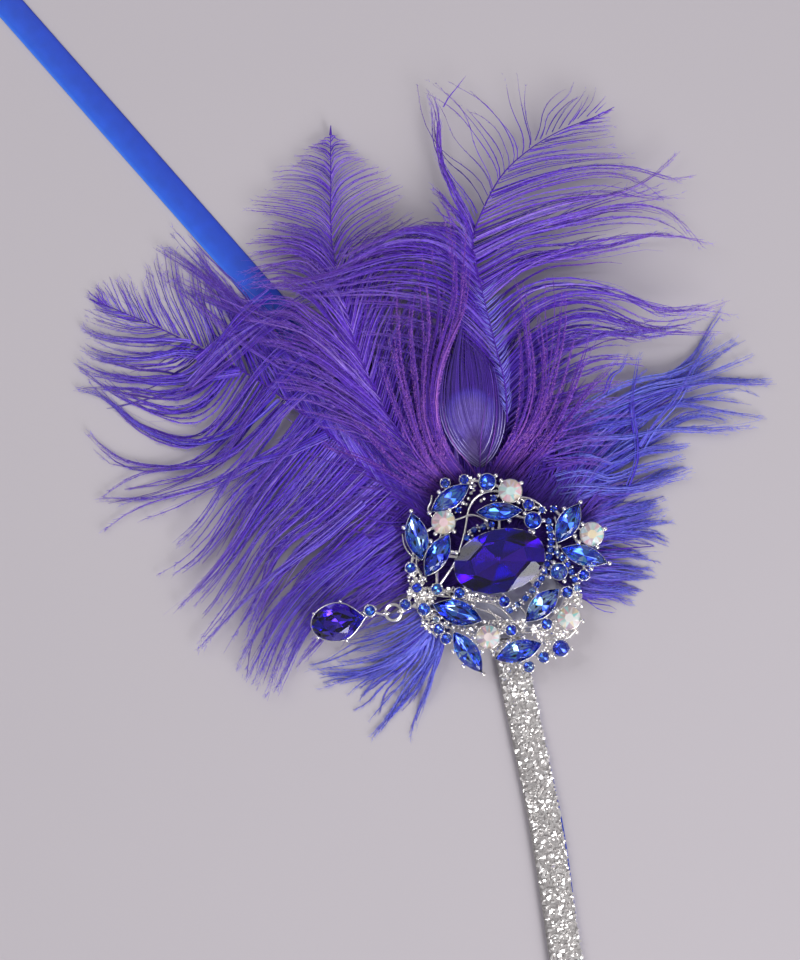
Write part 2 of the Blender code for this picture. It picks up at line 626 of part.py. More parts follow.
def plume_mesh(name, plume):
    """A plume: its locks and its web joined in the plane, then lifted, with a ridge on the quill."""
    fine = smooth_route(plume["quill"], 5)
    first, last, width = plume["web"]
    web = [point_along(fine, first + (last - first) * i / 6) for i in range(7)]
    widths = (0.25, 0.75, 1.0, 1.0, 0.9, 0.65, 0.15)
    sides = [strip(web[max(i - 1, 0):i + 2], width * share) for i, share in enumerate(widths)]
    right = [side[0 if i == 0 else 1] for i, side in enumerate(sides)]
    left = [side[-1 if i == 0 else -2] for i, side in enumerate(sides)]
    coarse = [point_along(fine, i / 10) for i in range(11)]
    polygons = [right + left[::-1], strip(coarse, QUILL_WIDTH)]
    peaks = {}
    for along, middle, tip, lock_width in plume["locks"]:
        base = point_along(fine, along)
        control = tuple(2 * m - (b + t) / 2 for b, m, t in zip(base, middle, tip))
        polygon, ridge = lock_outline(base, control, tip, lock_width)
        polygons.append(polygon)
        for point in ridge:
            peaks[point] = LOCK_RIDGE
    inner = coarse[1:-1]
    shaft = strip(inner, QUILL_WIDTH * 0.99)
    half = len(inner)
    lines = [inner, shaft[:half], shaft[half:]]
    for point in inner:
        peaks[point] = QUILL_RIDGE
    near = [point for point in peaks if peaks[point] == LOCK_RIDGE
            and min(math.dist(point, spot) for spot in coarse) > QUILL_WIDTH * 1.5]
    bm = flat_union(merged_faces(polygons), lines + [[point] for point in near])
    half_thick = LOCK_THICK / 2

    def ridge_height(x, y):
        return max((peak for (px, py), peak in peaks.items() if math.dist((x, y), (px, py)) < 0.01), default=0.0)

    return thicken(
        bm,
        lambda x, y: max(lift(plume, x, y) - half_thick, 0.0),
        lambda x, y: lift(plume, x, y) + half_thick + ridge_height(x, y),
        name,
    )


def build_band_and_ribbon():
    """The two straps: satin below, crystal chips above."""
    ribbon = flat_strip(smooth_route(RIBBON_ROUTE, 1), RIBBON_WIDTH, 0.0, RIBBON_THICK)
    add_piece("satin_ribbon", mesh_from(ribbon, "satin_ribbon"), "satin")
    band = flat_strip(smooth_route(BAND_ROUTE, 3), BAND_WIDTH, BAND_BOTTOM, BAND_THICK, crown=0.5)
    add_piece("crystal_band", mesh_from(band, "crystal_band"), "crystal_chips")


def build_pad_and_pin():
    """The pad that holds the quills, and the bar that pins the brooch to it."""
    oval = [(PAD_RADII[0] * math.cos(a), PAD_RADII[1] * math.sin(a)) for a in
            (2 * math.pi * i / 24 for i in range(24))]
    levels = ((0.97, PAD_BOTTOM), (1.0, PAD_BOTTOM + PAD_THICK / 2), (0.97, PAD_BOTTOM + PAD_THICK))
    rings = [placed(scaled(oval, share), *PAD_CENTRE, 0.0, z) for share, z in levels]
    add_piece("base_pad", mesh_from(loft(rings), "base_pad"), "pad_cloth")
    half = PIN_WIDTH / 2
    corners = ((-PIN_HALF_LENGTH, -half), (PIN_HALF_LENGTH, -half), (PIN_HALF_LENGTH, half),
               (-PIN_HALF_LENGTH, half))
    low = PIN_BOTTOM + 0.3
    high = PIN_TOP - 0.3
    bar = loft([placed(corners, 0.0, PIN_Y, 0.0, z) for z in (low, high)])
    parts = [mesh_from(bar, "bar")]
    for x in (-PIN_HALF_LENGTH + 1.5, PIN_HALF_LENGTH - 1.5):
        disc = outline("round", 12, 2 * BOSS_RADIUS, 2 * BOSS_RADIUS)
        parts.append(mesh_from(loft([placed(disc, x, PIN_Y, 0.0, z) for z in (PIN_BOTTOM, PIN_TOP)]), "boss"))
    fuse("brooch_pin", parts, "silver")


def stone_table():
    """Every stone that is a node: name to cut, x, y, turn, length, width, bottom, height."""
    table = {}
    for name, cut, x, y, turn, length, width in STONES:
        height = 8.0 if length > 17 else 4.0 if length > 6 else 3.4
        table[name] = (cut, x, y, turn, length, width, STONE_BOTTOM, height)
    for i, (x, y, size) in enumerate(SMALL_ROUNDS):
        table[f"small_round_{i + 1:02d}"] = ("round", x, y, 7.0 * i, size, size, STONE_BOTTOM, 2.2)
    return table


def marquise_point(x, y, turn, length, width, along, side):
    """Where a marquise's prong stands: beside the girdle, or past a tip when side is 0."""
    if side == 0:
        px = along * (length / 2 + PRONG_REACH)
        py = 0.0
    else:
        px = along
        py = side * (width / 2 * (1.0 - (2.0 * along / length) ** 2) + PRONG_REACH)
    return placed([(px, py)], x, y, turn, 0.0)[0][:2]


def prong_meshes(stones):
    """Every prong of the brooch."""
    made = []
    for name, (cut, x, y, turn, length, width, bottom, height) in stones.items():
        girdle = bottom + height * 0.52
        for angle in ROUND_PRONGS.get(name, ()):
            reach = length / 2 + PRONG_REACH
            to_x = x + reach * math.cos(math.radians(angle))
            to_y = y + reach * math.sin(math.radians(angle))
            made.append(prong(x, y, to_x, to_y, girdle))
        for along, side in MARQUISE_PRONGS.get(name, ()):
            to_x, to_y = marquise_point(x, y, turn, length, width, along, side)
            made.append(prong(x, y, to_x, to_y, girdle))
        if name == "big_oval_stone":
            for angle in BIG_STONE_PRONGS:
                px = (length / 2 + PRONG_REACH) * math.cos(math.radians(angle))
                py = (width / 2 + PRONG_REACH) * math.sin(math.radians(angle))
                to_x, to_y, _ = placed([(px, py)], x, y, turn, 0.0)[0]
                made.append(prong(x, y, to_x, to_y, girdle))
    return made


def tiny_stone(x, y):
    """A tiny stone, one with its rail."""
    girdle = outline("round", 6, 2 * TINY_RADIUS, 2 * TINY_RADIUS)
    levels = ((1.0, FRAME_TOP - 0.5), (0.55, TINY_TOP))
    return mesh_from(loft([placed(scaled(girdle, share), x, y, 10.0, z) for share, z in levels]), "tiny")


def link_loop(side):
    """The upright loop that passes through the jump ring, on the brooch's side or on the drop's."""
    c = math.cos(math.radians(LOOP_TURN)) * side
    s = math.sin(math.radians(LOOP_TURN)) * side
    x = RING_CENTRE[0] + RING_RADIUS * c
    y = RING_CENTRE[1] + RING_RADIUS * s
    loop = ring_mesh((x, y, LINK_HEIGHT), LOOP_RADIUS, LOOP_WIRE, LOOP_TURN, True, around=10)
    root = (x + LOOP_RADIUS * c, y + LOOP_RADIUS * s, LINK_HEIGHT)
    return loop, root


def build_brooch(stones):
    """The silver openwork and the stones in it."""
    polygons = []
    for name, (cut, x, y, turn, length, width, bottom, height) in stones.items():
        share = 0.66 if name.startswith("small") else 0.60
        girdle = scaled(outline(cut, 12 if length > 17 else 8, length, width), share)
        polygons.append([point[:2] for point in placed(girdle, x, y, turn, 0.0)])
    places = {name: (row[1], row[2]) for name, row in stones.items()}
    for start, stop in STRUTS:
        polygons.append(strip((places[start], places[stop]), STRUT_WIDTH))
    for start, stop in STRUTS_TO_POINT:
        polygons.append(strip((places[start], stop), STRUT_WIDTH))
    for route in BRANCHES:
        polygons.append(strip(route, BRANCH_WIDTH))
    for rail in (INNER_RAIL, OUTER_RAIL, UPPER_RAIL):
        polygons.append(strip(rail, RAIL_WIDTH))
    plate = flat_union(merged_faces(polygons))
    solids = [thicken(plate, lambda x, y: FRAME_BOTTOM, lambda x, y: FRAME_TOP, "plate")]
    for x, y in INNER_RAIL + OUTER_RAIL + UPPER_RAIL + SINGLE_TINY:
        solids.append(tiny_stone(x, y))
    solids.extend(prong_meshes(stones))
    loop, root = link_loop(1)
    solids.append(loop)
    solids.append(tube((root, (*places["small_round_15"], WIRE_MIDDLE)), 0.5))
    fuse("brooch_frame", solids, "silver")
    for name, (cut, x, y, turn, length, width, bottom, height) in stones.items():
        finish = "iridescent" if name.startswith("iridescent") else "sapphire"
        add_piece(name, cut_stone(cut, x, y, turn, length, width, bottom, height), finish)


def build_drop():
    """The teardrop with its setting, its small stone and the jump ring."""
    ring = ring_mesh((*RING_CENTRE, LINK_HEIGHT), RING_RADIUS, RING_WIRE, 0.0, False, around=14)
    add_piece("jump_ring", ring, "silver")
    girdle = outline("drop", 16, DROP_LENGTH + 1.0, DROP_WIDTH + 1.0)
    levels = ((0.80, DROP_PLATE_BOTTOM), (0.92, DROP_PLATE_TOP))
    plate = loft([placed(scaled(girdle, share), *DROP_CENTRE, DROP_TURN, z) for share, z in levels])
    solids = [mesh_from(plate, "plate")]
    x, y, size = DROP_ROUND
    cup = scaled(outline("round", 8, size, size), 0.75)
    solids.append(mesh_from(loft([placed(cup, x, y, 0.0, z) for z in (FRAME_BOTTOM, FRAME_TOP)]), "cup"))
    middle = (DROP_PLATE_BOTTOM + DROP_PLATE_TOP) / 2
    tip = placed([(DROP_LENGTH * 0.30, 0.0)], *DROP_CENTRE, DROP_TURN, middle)[0]
    solids.append(tube((tip, (x, y, WIRE_MIDDLE - 0.1)), 0.6))
    loop, root = link_loop(-1)
    solids.append(loop)
    solids.append(tube((root, (x, y, WIRE_MIDDLE)), 0.5))
    bottom = DROP_PLATE_TOP + GAP
    height = 6.0
    for along, side in ((-0.42, 1), (-0.42, -1), (0.10, 1), (0.10, -1)):
        px = along * DROP_LENGTH
        rim = math.sqrt(max(1.0 - (2 * along) ** 2, 0.0))
        py = side * (DROP_WIDTH / 2 * rim + PRONG_REACH)
        start = placed([(px * 0.7, py * 0.7)], *DROP_CENTRE, DROP_TURN, middle)[0]
        elbow = placed([(px * 1.08, py)], *DROP_CENTRE, DROP_TURN, middle + 1.2)[0]
        top = (elbow[0], elbow[1], bottom + height * 0.52 + 0.6)
        solids.append(tube((start, elbow, top), PRONG_RADIUS, 0))
    fuse("drop_setting", solids, "silver")
    add_piece("drop_stone", cut_stone("drop", *DROP_CENTRE, DROP_TURN, DROP_LENGTH, DROP_WIDTH, bottom, height),
              "sapphire")
    add_piece("drop_small_round", cut_stone("round", x, y, 0.0, size, size, STONE_BOTTOM, 2.2), "sapphire")


def build_plumes():
    """The six ostrich plumes and the peacock eye feather."""
    for name, plume in PLUMES.items():
        add_piece(name, plume_mesh(name, plume), "peacock" if name == "plume_peacock" else "ostrich")


def main():
    start_empty()
    build_band_and_ribbon()
    build_pad_and_pin()
    build_brooch(stone_table())
    build_drop()
    build_plumes()


main()
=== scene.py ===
# %% [markdown]
# # A flapper headband, as it lies on a pale surface
# The real piece is a band of crystal chips on a satin ribbon, with a silver openwork brooch of blue stones
# and a fan of dyed ostrich plumes and one peacock eye feather pinned under it. Every part of this lesson is
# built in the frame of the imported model, in metres, so a piece goes where the model says. The satin ribbon
# and the camera come first, because they settle what the picture shows.

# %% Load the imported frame
import math

import bmesh
import bpy
import numpy as np
from mathutils import Matrix, Vector


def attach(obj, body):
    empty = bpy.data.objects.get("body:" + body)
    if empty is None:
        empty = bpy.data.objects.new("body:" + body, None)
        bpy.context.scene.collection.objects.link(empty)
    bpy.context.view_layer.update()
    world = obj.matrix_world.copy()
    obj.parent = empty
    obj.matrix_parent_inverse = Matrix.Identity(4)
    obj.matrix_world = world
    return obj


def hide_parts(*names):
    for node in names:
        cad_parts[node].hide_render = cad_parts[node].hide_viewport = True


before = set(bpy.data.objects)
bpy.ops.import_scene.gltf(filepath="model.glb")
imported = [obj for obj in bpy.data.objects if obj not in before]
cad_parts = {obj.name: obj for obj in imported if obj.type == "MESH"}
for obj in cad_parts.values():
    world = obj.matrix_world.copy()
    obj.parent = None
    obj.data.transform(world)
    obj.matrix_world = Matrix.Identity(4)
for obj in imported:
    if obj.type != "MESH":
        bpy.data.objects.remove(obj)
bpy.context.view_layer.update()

MM = 0.001
scene = bpy.context.scene
print("nodes in the frame:", len(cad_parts))

# %% [markdown]
# ## The camera
# The photograph looks straight down, so the camera hangs over the middle of the picture and needs no turn.
# It is far away with a long lens, which keeps the tall brooch and the flat feathers at the same scale. The
# picture is 309.7 mm high at the level of the feathers, and that height and the distance give the lens.

# %% Camera
PICTURE_MIDDLE = (-32.3, 27.4)
PICTURE_HEIGHT = 309.7
CAMERA_HEIGHT = 1500.0
SHARP_LEVEL = 8.0
lens_data = bpy.data.cameras.new("camera")
lens_data.sensor_width = 36.0
lens_data.lens = lens_data.sensor_width * (CAMERA_HEIGHT - SHARP_LEVEL) / PICTURE_HEIGHT
lens_data.clip_end = 20.0
camera = bpy.data.objects.new("camera", lens_data)
camera.location = Vector((*PICTURE_MIDDLE, CAMERA_HEIGHT)) * MM
scene.collection.objects.link(camera)
scene.camera = camera
scene.view_settings.view_transform = "Standard"
print("lens, mm:", round(lens_data.lens, 1))

# %% [markdown]
# ## Routes and swept lines
# Ribbon, wires and feather barbs are all a section carried along a line. A smooth line needs only a few
# points to steer it, so one helper draws a Catmull-Rom curve through them and spaces the result evenly. A
# second one turns thousands of lines into closed tubes at once: it hands them to a Geometry Nodes group,
# because a modifier does in a moment what a loop over single barbs would do in minutes. Values stored on
# the lines, such as a barb's tone, come out on the tubes, where a material can read them.

# %% Routes from text, and a smooth line through a few points
def route(row):
    """The points of a route, written as x,y in millimetres."""
    return tuple(tuple(map(float, point.split(","))) for point in row.split())


def routes(*rows):
    """Several routes, each from its own row."""
    return tuple(route(row) for row in rows)


def travel(line):
    """How far along a line each of its points is."""
    steps = np.linalg.norm(np.diff(line, axis=0), axis=1)
    return np.concatenate([[0.0], np.cumsum(steps)])


def heading(line):
    """The unit step ahead at each point of a line."""
    ahead = np.gradient(line, axis=0)
    return ahead / np.linalg.norm(ahead, axis=1)[:, None]


def smooth_line(points, count):
    """Evenly spaced points on a Catmull-Rom curve through the given ones."""
    given = np.array(points, dtype=float)
    ends = np.vstack([2 * given[0] - given[1], given, 2 * given[-1] - given[-2]])
    t = np.linspace(0.0, 1.0, 12, endpoint=False)[:, None]
    runs = []
    for before, start, stop, after in zip(ends, ends[1:], ends[2:], ends[3:]):
        square = (2 * before - 5 * start + 4 * stop - after) * t**2
        cube = (3 * start - 3 * stop + after - before) * t**3
        runs.append(0.5 * (2 * start + (stop - before) * t + square + cube))
    fine = np.vstack(runs + [given[-1:]])
    reach = travel(fine)
    wanted = np.linspace(0.0, reach[-1], count)
    return np.stack([np.interp(wanted, reach, fine[:, axis]) for axis in range(fine.shape[1])], axis=1)


def ease(low, high, value):
    """Nought below low, one above high, and a smooth rise between them."""
    share = np.clip((value - low) / (high - low), 0.0, 1.0)
    return share * share * (3.0 - 2.0 * share)


# %% Nodes and meshes in a line each
def join(tree, socket, value):
    """Links a socket to another node's, or sets its value, and gives a colour its alpha."""
    if isinstance(value, bpy.types.NodeSocket):
        tree.links.new(value, socket)
    elif socket.type == "RGBA" and len(value) == 3:
        socket.default_value = (*value, 1.0)
    else:
        socket.default_value = value


def node(tree, kind, inputs=None, **settings):
    """A new node with its settings, and with inputs that are values or the sockets of other nodes."""
    made = tree.nodes.new(kind)
    for name, value in settings.items():
        setattr(made, name, value)
    for name, value in (inputs or {}).items():
        join(tree, made.inputs[name], value)
    return made


def new_group(name, kind, inputs, outputs):
    """An empty node group with its sockets, and the two nodes where values come in and go out."""
    group = bpy.data.node_groups.new(name, kind)
    for way, sockets in (("INPUT", inputs), ("OUTPUT", outputs)):
        for socket, holds in sockets.items():
            group.interface.new_socket(socket, in_out=way, socket_type="NodeSocket" + holds)
    return group, group.nodes.new("NodeGroupInput"), group.nodes.new("NodeGroupOutput")


def mesh_from(bm, name, smooth=False):
    """The mesh of a bmesh, which is freed."""
    mesh = bpy.data.meshes.new(name)
    bm.to_mesh(mesh)
    bm.free()
    if smooth:
        mesh.shade_smooth()
    return mesh


# %% Lines to tubes
def tube_nodes():
    """A Geometry Nodes group that sweeps a round section along loose lines and closes the ends."""
    group, given, result = new_group(
        "lines to tubes", "GeometryNodeTree", {"Geometry": "Geometry", "Sides": "Int"},
        {"Geometry": "Geometry"},
    )
    lines = node(group, "GeometryNodeMeshToCurve", {"Mesh": given.outputs["Geometry"]})
    thick = node(group, "GeometryNodeInputNamedAttribute", {"Name": "thick"})
    section = node(group, "GeometryNodeCurvePrimitiveCircle", {
        "Resolution": given.outputs["Sides"], "Radius": 1.0,
    })
    sweep = node(group, "GeometryNodeCurveToMesh", {
        "Curve": lines.outputs["Curve"], "Profile Curve": section.outputs["Curve"],
        "Scale": thick.outputs["Attribute"], "Fill Caps": True,
    })
    join(group, result.inputs["Geometry"], sweep.outputs["Mesh"])
    return group, group.interface.items_tree["Sides"].identifier


TUBES, TUBE_SIDES = tube_nodes()


def tubes(lines, radius, sides, **values):
    """A mesh of closed tubes: lines (count, points, 3) and radius (count, points) in millimetres."""
    lines = np.asarray(lines, dtype=np.float32)
    count, points = lines.shape[:2]
    mesh = bpy.data.meshes.new("lines")
    mesh.vertices.add(count * points)
    mesh.vertices.foreach_set("co", (lines * MM).ravel())
    starts = (np.arange(count)[:, None] * points + np.arange(points - 1)).ravel()
    mesh.edges.add(len(starts))
    mesh.edges.foreach_set("vertices", np.stack([starts, starts + 1], axis=1).ravel().astype(np.int32))
    values["thick"] = np.asarray(radius) * MM
    for name, value in values.items():
        layer = mesh.attributes.new(name, "FLOAT", "POINT")
        spread = np.broadcast_to(np.asarray(value, dtype=np.float32), (count, points))
        layer.data.foreach_set("value", np.ascontiguousarray(spread).ravel())
    holder = bpy.data.objects.new("lines", mesh)
    scene.collection.objects.link(holder)
    live = holder.modifiers.new("tubes", "NODES")
    live.node_group = TUBES
    live[TUBE_SIDES] = sides
    bpy.context.view_layer.update()
    made = bpy.data.meshes.new_from_object(holder.evaluated_get(bpy.context.evaluated_depsgraph_get()))
    bpy.data.objects.remove(holder)
    made.shade_smooth()
    return made


# %% A finished piece
def add_piece(name, meshes, materials, slot, replaced=(), body="root"):
    """One object at the origin from one or more meshes, riding on a body and standing for CAD nodes."""
    bm = bmesh.new()
    for index, mesh in enumerate(meshes):
        first = len(bm.faces)
        bm.from_mesh(mesh)
        bm.faces.ensure_lookup_table()
        if len(materials) == len(meshes) > 1:
            for face in bm.faces[first:]:
                face.material_index = index
    whole = mesh_from(bm, name)
    for material in materials:
        whole.materials.append(material)
    piece = bpy.data.objects.new(name, whole)
    scene.collection.objects.link(piece)
    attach(piece, body)
    if replaced:
        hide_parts(*replaced)
    triangles = sum(len(face.vertices) - 2 for face in whole.polygons)
    print(name, "triangles:", triangles)
    return piece


# %% [markdown]
# ## Materials from nodes
# No real surface has one flat colour. The same small unevenness, a soft mottle in the colour, is needed on
# cloth, metal and feathers, so it is one shader node group with its own inputs, placed in each material
# with its own values. It reads Object coordinates, which stay put because every piece sits at the origin.

# %% The shared mottle group
def mottle_group():
    """Varies a colour softly over the surface, and gives the mask that it used."""
    group, given, result = new_group(
        "mottle", "ShaderNodeTree", {"Color": "Color", "Scale": "Float", "Amount": "Float"},
        {"Color": "Color", "Mask": "Float"},
    )
    place = node(group, "ShaderNodeTexCoord")
    noise = node(group, "ShaderNodeTexNoise", {
        "Vector": place.outputs["Object"], "Scale": given.outputs["Scale"], "Detail": 3.0,
    })
    middle = node(group, "ShaderNodeMath", {0: noise.outputs["Fac"], 1: 0.5}, operation="SUBTRACT")
    swing = node(
        group, "ShaderNodeMath", {0: middle.outputs[0], 1: given.outputs["Amount"], 2: 1.0},
        operation="MULTIPLY_ADD",
    )
    shade = node(group, "ShaderNodeHueSaturation", {
        "Value": swing.outputs[0], "Color": given.outputs["Color"],
    })
    join(group, result.inputs["Color"], shade.outputs["Color"])
    join(group, result.inputs["Mask"], noise.outputs["Fac"])
    return group


MOTTLE = mottle_group()


# %% Helpers for materials
def new_material(name, color, **values):
    """A Principled material and its shader, with sockets set by name, an underscore for each space."""
    material = bpy.data.materials.new(name)
    material.use_nodes = True
    shader = material.node_tree.nodes["Principled BSDF"]
    join(material.node_tree, shader.inputs["Base Color"], color)
    for socket, value in values.items():
        join(material.node_tree, shader.inputs[socket.replace("_", " ")], value)
    return material, shader


def mottled(material, shader, color, scale, amount):
    """Puts the mottle in front of a material's colour, a fixed one or a node's, and gives its mask."""
    tree = material.node_tree
    mottle = node(
        tree, "ShaderNodeGroup", {"Color": color, "Scale": scale, "Amount": amount}, node_tree=MOTTLE
    )
    join(tree, shader.inputs["Base Color"], mottle.outputs["Color"])
    return mottle.outputs["Mask"]


def bumped(tree, shader, height, strength, distance):
    """Raises the surface's normals by a socket's height."""
    bump = node(tree, "ShaderNodeBump", {"Height": height, "Strength": strength, "Distance": distance})
    join(tree, shader.inputs["Normal"], bump.outputs["Normal"])


def ramp(tree, source, stops):
    """A colour ramp fed by a socket, from (position, colour) stops."""
    made = node(tree, "ShaderNodeValToRGB", {"Fac": source})
    elements = made.color_ramp.elements
    while len(elements) < len(stops):
        elements.new(0.5)
    for element, (position, color) in zip(elements, stops):
        element.position = position
        element.color = (*color, 1.0)
    return made.outputs["Color"]


def painted(tree, below, mask, above):
    """One colour over another where the mask says."""
    return node(tree, "ShaderNodeMix", {"Factor": mask, 6: below, 7: above}, data_type="RGBA").outputs[2]


def attribute(tree, name):
    """The value that a mesh stores under a name."""
    return node(tree, "ShaderNodeAttribute", attribute_name=name).outputs["Fac"]


# %% [markdown]
# ## The satin ribbon
# The real ribbon is royal blue single-face satin, about 9 mm wide: a dense fabric whose long floats lie
# across it and give a soft broad shine, with a firmer selvedge along each edge. It lies flat under
# everything, from past the upper left of the picture to past its lower edge. A flat section carried along
# the route is enough, and its two distances, along and across, are kept on the mesh for the weave.

# %% The ribbon's route and section
RIBBON_ROUTE = route(
    "-165.0,187.9 -158.1,180.0 -110.6,126.0 -73.2,83.5 -36.0,41.1 -16.0,18.3 -7.0,7.8 -1.6,0.8 1.0,-8.0 "
    "3.2,-22.0 7.4,-45.0 12.4,-68.0 16.2,-86.0 19.0,-105.0 21.8,-127.4 23.0,-134.5"
)
RIBBON_WIDTH = 9.2
RIBBON_RINGS = 160
RIBBON_SECTION = (
    (-1.0, 0.12), (-0.97, 0.0), (0.97, 0.0), (1.0, 0.12), (1.0, 0.72), (0.97, 0.86), (0.90, 0.88),
    (0.84, 0.78), (0.4, 0.76), (0.0, 0.78), (-0.4, 0.76), (-0.84, 0.78), (-0.90, 0.88), (-0.97, 0.86),
    (-1.0, 0.72),
)


def flat_sweep(route, width, section, lift=0.0):
    """A closed strap: the section's rings are joined by a bridge, ring to ring, and capped."""
    bm = bmesh.new()
    along_layer = bm.verts.layers.float.new("along")
    across_layer = bm.verts.layers.float.new("across")
    loops = []
    for (x, y), (dx, dy), far in zip(route, heading(route), travel(route)):
        ring = []
        for across, height in section:
            side = across * width / 2
            vert = bm.verts.new(Vector((x + dy * side, y - dx * side, lift + height)) * MM)
            vert[along_layer] = far
            vert[across_layer] = side
            ring.append(vert)
        loops.append([bm.edges.new((a, b)) for a, b in zip(ring, ring[1:] + ring[:1])])
    for low, high in zip(loops, loops[1:]):
        bmesh.ops.bridge_loops(bm, edges=low + high)
    bmesh.ops.contextual_create(bm, geom=loops[0])
    bmesh.ops.contextual_create(bm, geom=loops[-1])
    bmesh.ops.recalc_face_normals(bm, faces=bm.faces)
    return mesh_from(bm, "strap", smooth=True)


# %% The satin finish
def satin_material():
    """Blue satin: a ramp over the width with a painted sheen at one edge, fine floats that lie across it and
    a soft broad shine.
    """
    material, shader = new_material(
        "satin", (0.01, 0.07, 0.60), Roughness=0.45, Sheen_Weight=0.08, Sheen_Roughness=0.4,
        Sheen_Tint=(0.45, 0.60, 1.0), Anisotropic=0.5,
    )
    tree = material.node_tree
    across = attribute(tree, "across")
    share = node(tree, "ShaderNodeMapRange", {
        "Value": across, "From Min": -RIBBON_WIDTH / 2, "From Max": RIBBON_WIDTH / 2,
    })
    # Darker at one edge and lighter at the other: the light edge is a painted sheen.
    color = ramp(tree, share.outputs["Result"], (
        (0.0, (0.006, 0.035, 0.42)), (0.10, (0.008, 0.055, 0.55)), (0.55, (0.010, 0.075, 0.62)),
        (0.88, (0.015, 0.11, 0.74)), (1.0, (0.04, 0.20, 0.88)),
    ))
    mottled(material, shader, color, 260.0, 0.35)
    place = node(tree, "ShaderNodeCombineXYZ", {"X": attribute(tree, "along"), "Y": across})
    floats = node(tree, "ShaderNodeTexWave", {
        "Vector": place.outputs["Vector"], "Scale": 2.6, "Distortion": 0.6,
    })
    bumped(tree, shader, floats.outputs["Fac"], 0.12, 0.0001)
    return material


SATIN = satin_material()

ribbon_mesh = flat_sweep(smooth_line(RIBBON_ROUTE, RIBBON_RINGS), RIBBON_WIDTH, RIBBON_SECTION)
ribbon = add_piece("ribbon", [ribbon_mesh], [SATIN], "satin", ["satin_ribbon"])

# %% [markdown]
# ## Floor and light
# The photograph was taken on a pale grey-mauve surface in soft light that comes mostly from the lower
# right. A plain floor takes that colour, with a mottle so faint that it only keeps it from looking printed.
# The main soft lamp stands to the lower right with a low panel beside it, a weaker one fills from the upper
# left, and two small ones give the stones something to sparkle.

# %% The floor
FLOOR_SIZE = 8.0
FLOOR_LEVEL = -0.05
FLOOR_COLOR = (0.540, 0.504, 0.544)


def build_floor():
    """A large flat square just under the object."""
    bm = bmesh.new()
    bmesh.ops.create_grid(bm, x_segments=8, y_segments=8, size=FLOOR_SIZE / 2)
    bmesh.ops.translate(bm, verts=bm.verts, vec=(0.0, 0.0, FLOOR_LEVEL * MM))
    mesh = mesh_from(bm, "floor")
    material, shader = new_material("pale surface", FLOOR_COLOR, Roughness=0.75, Specular_IOR_Level=0.25)
    mottled(material, shader, FLOOR_COLOR, 9.0, 0.03)
    mesh.materials.append(material)
    floor = bpy.data.objects.new("floor", mesh)
    scene.collection.objects.link(floor)


build_floor()

# %% The lamps
LAMPS = (
    # name, place in metres, size in metres, power in watts
    ("key", (0.8, -0.8, 1.15), 0.7, 8.8),
    ("low_panel", (0.75, -1.1, 0.72), 0.66, 10.3),
    ("fill", (-0.9, 0.7, 1.2), 0.9, 5.35),
    ("glint_left", (-0.35, 0.25, 0.8), 0.06, 0.5),
    ("glint_right", (0.3, 0.35, 0.9), 0.06, 0.5),
)
ROOM_LIGHT = 0.325


def build_lights():
    """Square lamps that look at the brooch, and a soft even light from all round."""
    for name, place, size, power in LAMPS:
        lamp = bpy.data.lights.new(name, "AREA")
        lamp.shape = "SQUARE"
        lamp.size = size
        lamp.energy = power
        holder = bpy.data.objects.new(name, lamp)
        holder.location = place
        holder.rotation_euler = (-Vector(place)).to_track_quat("-Z", "Y").to_euler()
        scene.collection.objects.link(holder)
    world = bpy.data.worlds.new("room")
    world.use_nodes = True
    back = world.node_tree.nodes["Background"]
    back.inputs["Color"].default_value = (1.0, 0.98, 1.0, 1.0)
    back.inputs["Strength"].default_value = ROOM_LIGHT
    scene.world = world


build_lights()

# %% [markdown]
# ## The crystal band
# The band is a strip of cloth covered with crushed crystal in resin, hundreds of splinters about 1.5 mm
# across that lie every way, so some flash white and others stay dark. A bumpy texture would give no sharp
# glints, so real splinters are laid on a strap: six of them are made as convex hulls of a few points, and
# copies are turned at random. Each copy has only about fifteen faces.

# %% The strap under the crystals
BAND_ROUTE = route("0.3,-3.0 2.0,-18.0 5.8,-40.3 13.5,-77.4 17.6,-102.0 21.3,-127.4 22.5,-135.0")
BAND_WIDTH = 10.8
BAND_RINGS = 70
BAND_STEPS = 400
BAND_BOTTOM = 1.3
BAND_SECTION = (
    (-0.96, 0.0), (0.96, 0.0), (0.97, 0.6), (0.95, 1.1), (0.5, 1.45), (0.0, 1.55), (-0.5, 1.45), (-0.95, 1.1),
    (-0.97, 0.6),
)
SPLINTER_STEP = 1.12
SPLINTER_SIZE = (0.65, 1.25)
SPLINTER_CORNERS = 9
SPLINTER_KINDS = 6
SPLINTER_SHIFT = 0.4
SPLINTER_LEVEL = 1.0
SPLINTER_DOME = 0.45
BAND_MARGIN = 0.45
FIRST_SPLINTER = 17.0
END_MARGIN = 0.6


def hull(bm):
    """Wraps the points of a bmesh in faces, and drops the points that are left inside."""
    bmesh.ops.convex_hull(bm, input=bm.verts)
    bmesh.ops.delete(bm, geom=[vert for vert in bm.verts if not vert.link_faces], context="VERTS")


def splinter_shapes():
    """A few irregular closed splinters, about a millimetre in radius."""
    rng = np.random.default_rng(51)
    shapes = []
    for kind in range(SPLINTER_KINDS):
        bm = bmesh.new()
        for place in rng.normal(0.0, 1.0, (SPLINTER_CORNERS, 3)):
            bm.verts.new(Vector(place / np.linalg.norm(place) * (0.75, 1.0, 0.6)) * MM)
        hull(bm)
        bmesh.ops.recalc_face_normals(bm, faces=bm.faces)
        shapes.append(mesh_from(bm, "splinter"))
    return shapes


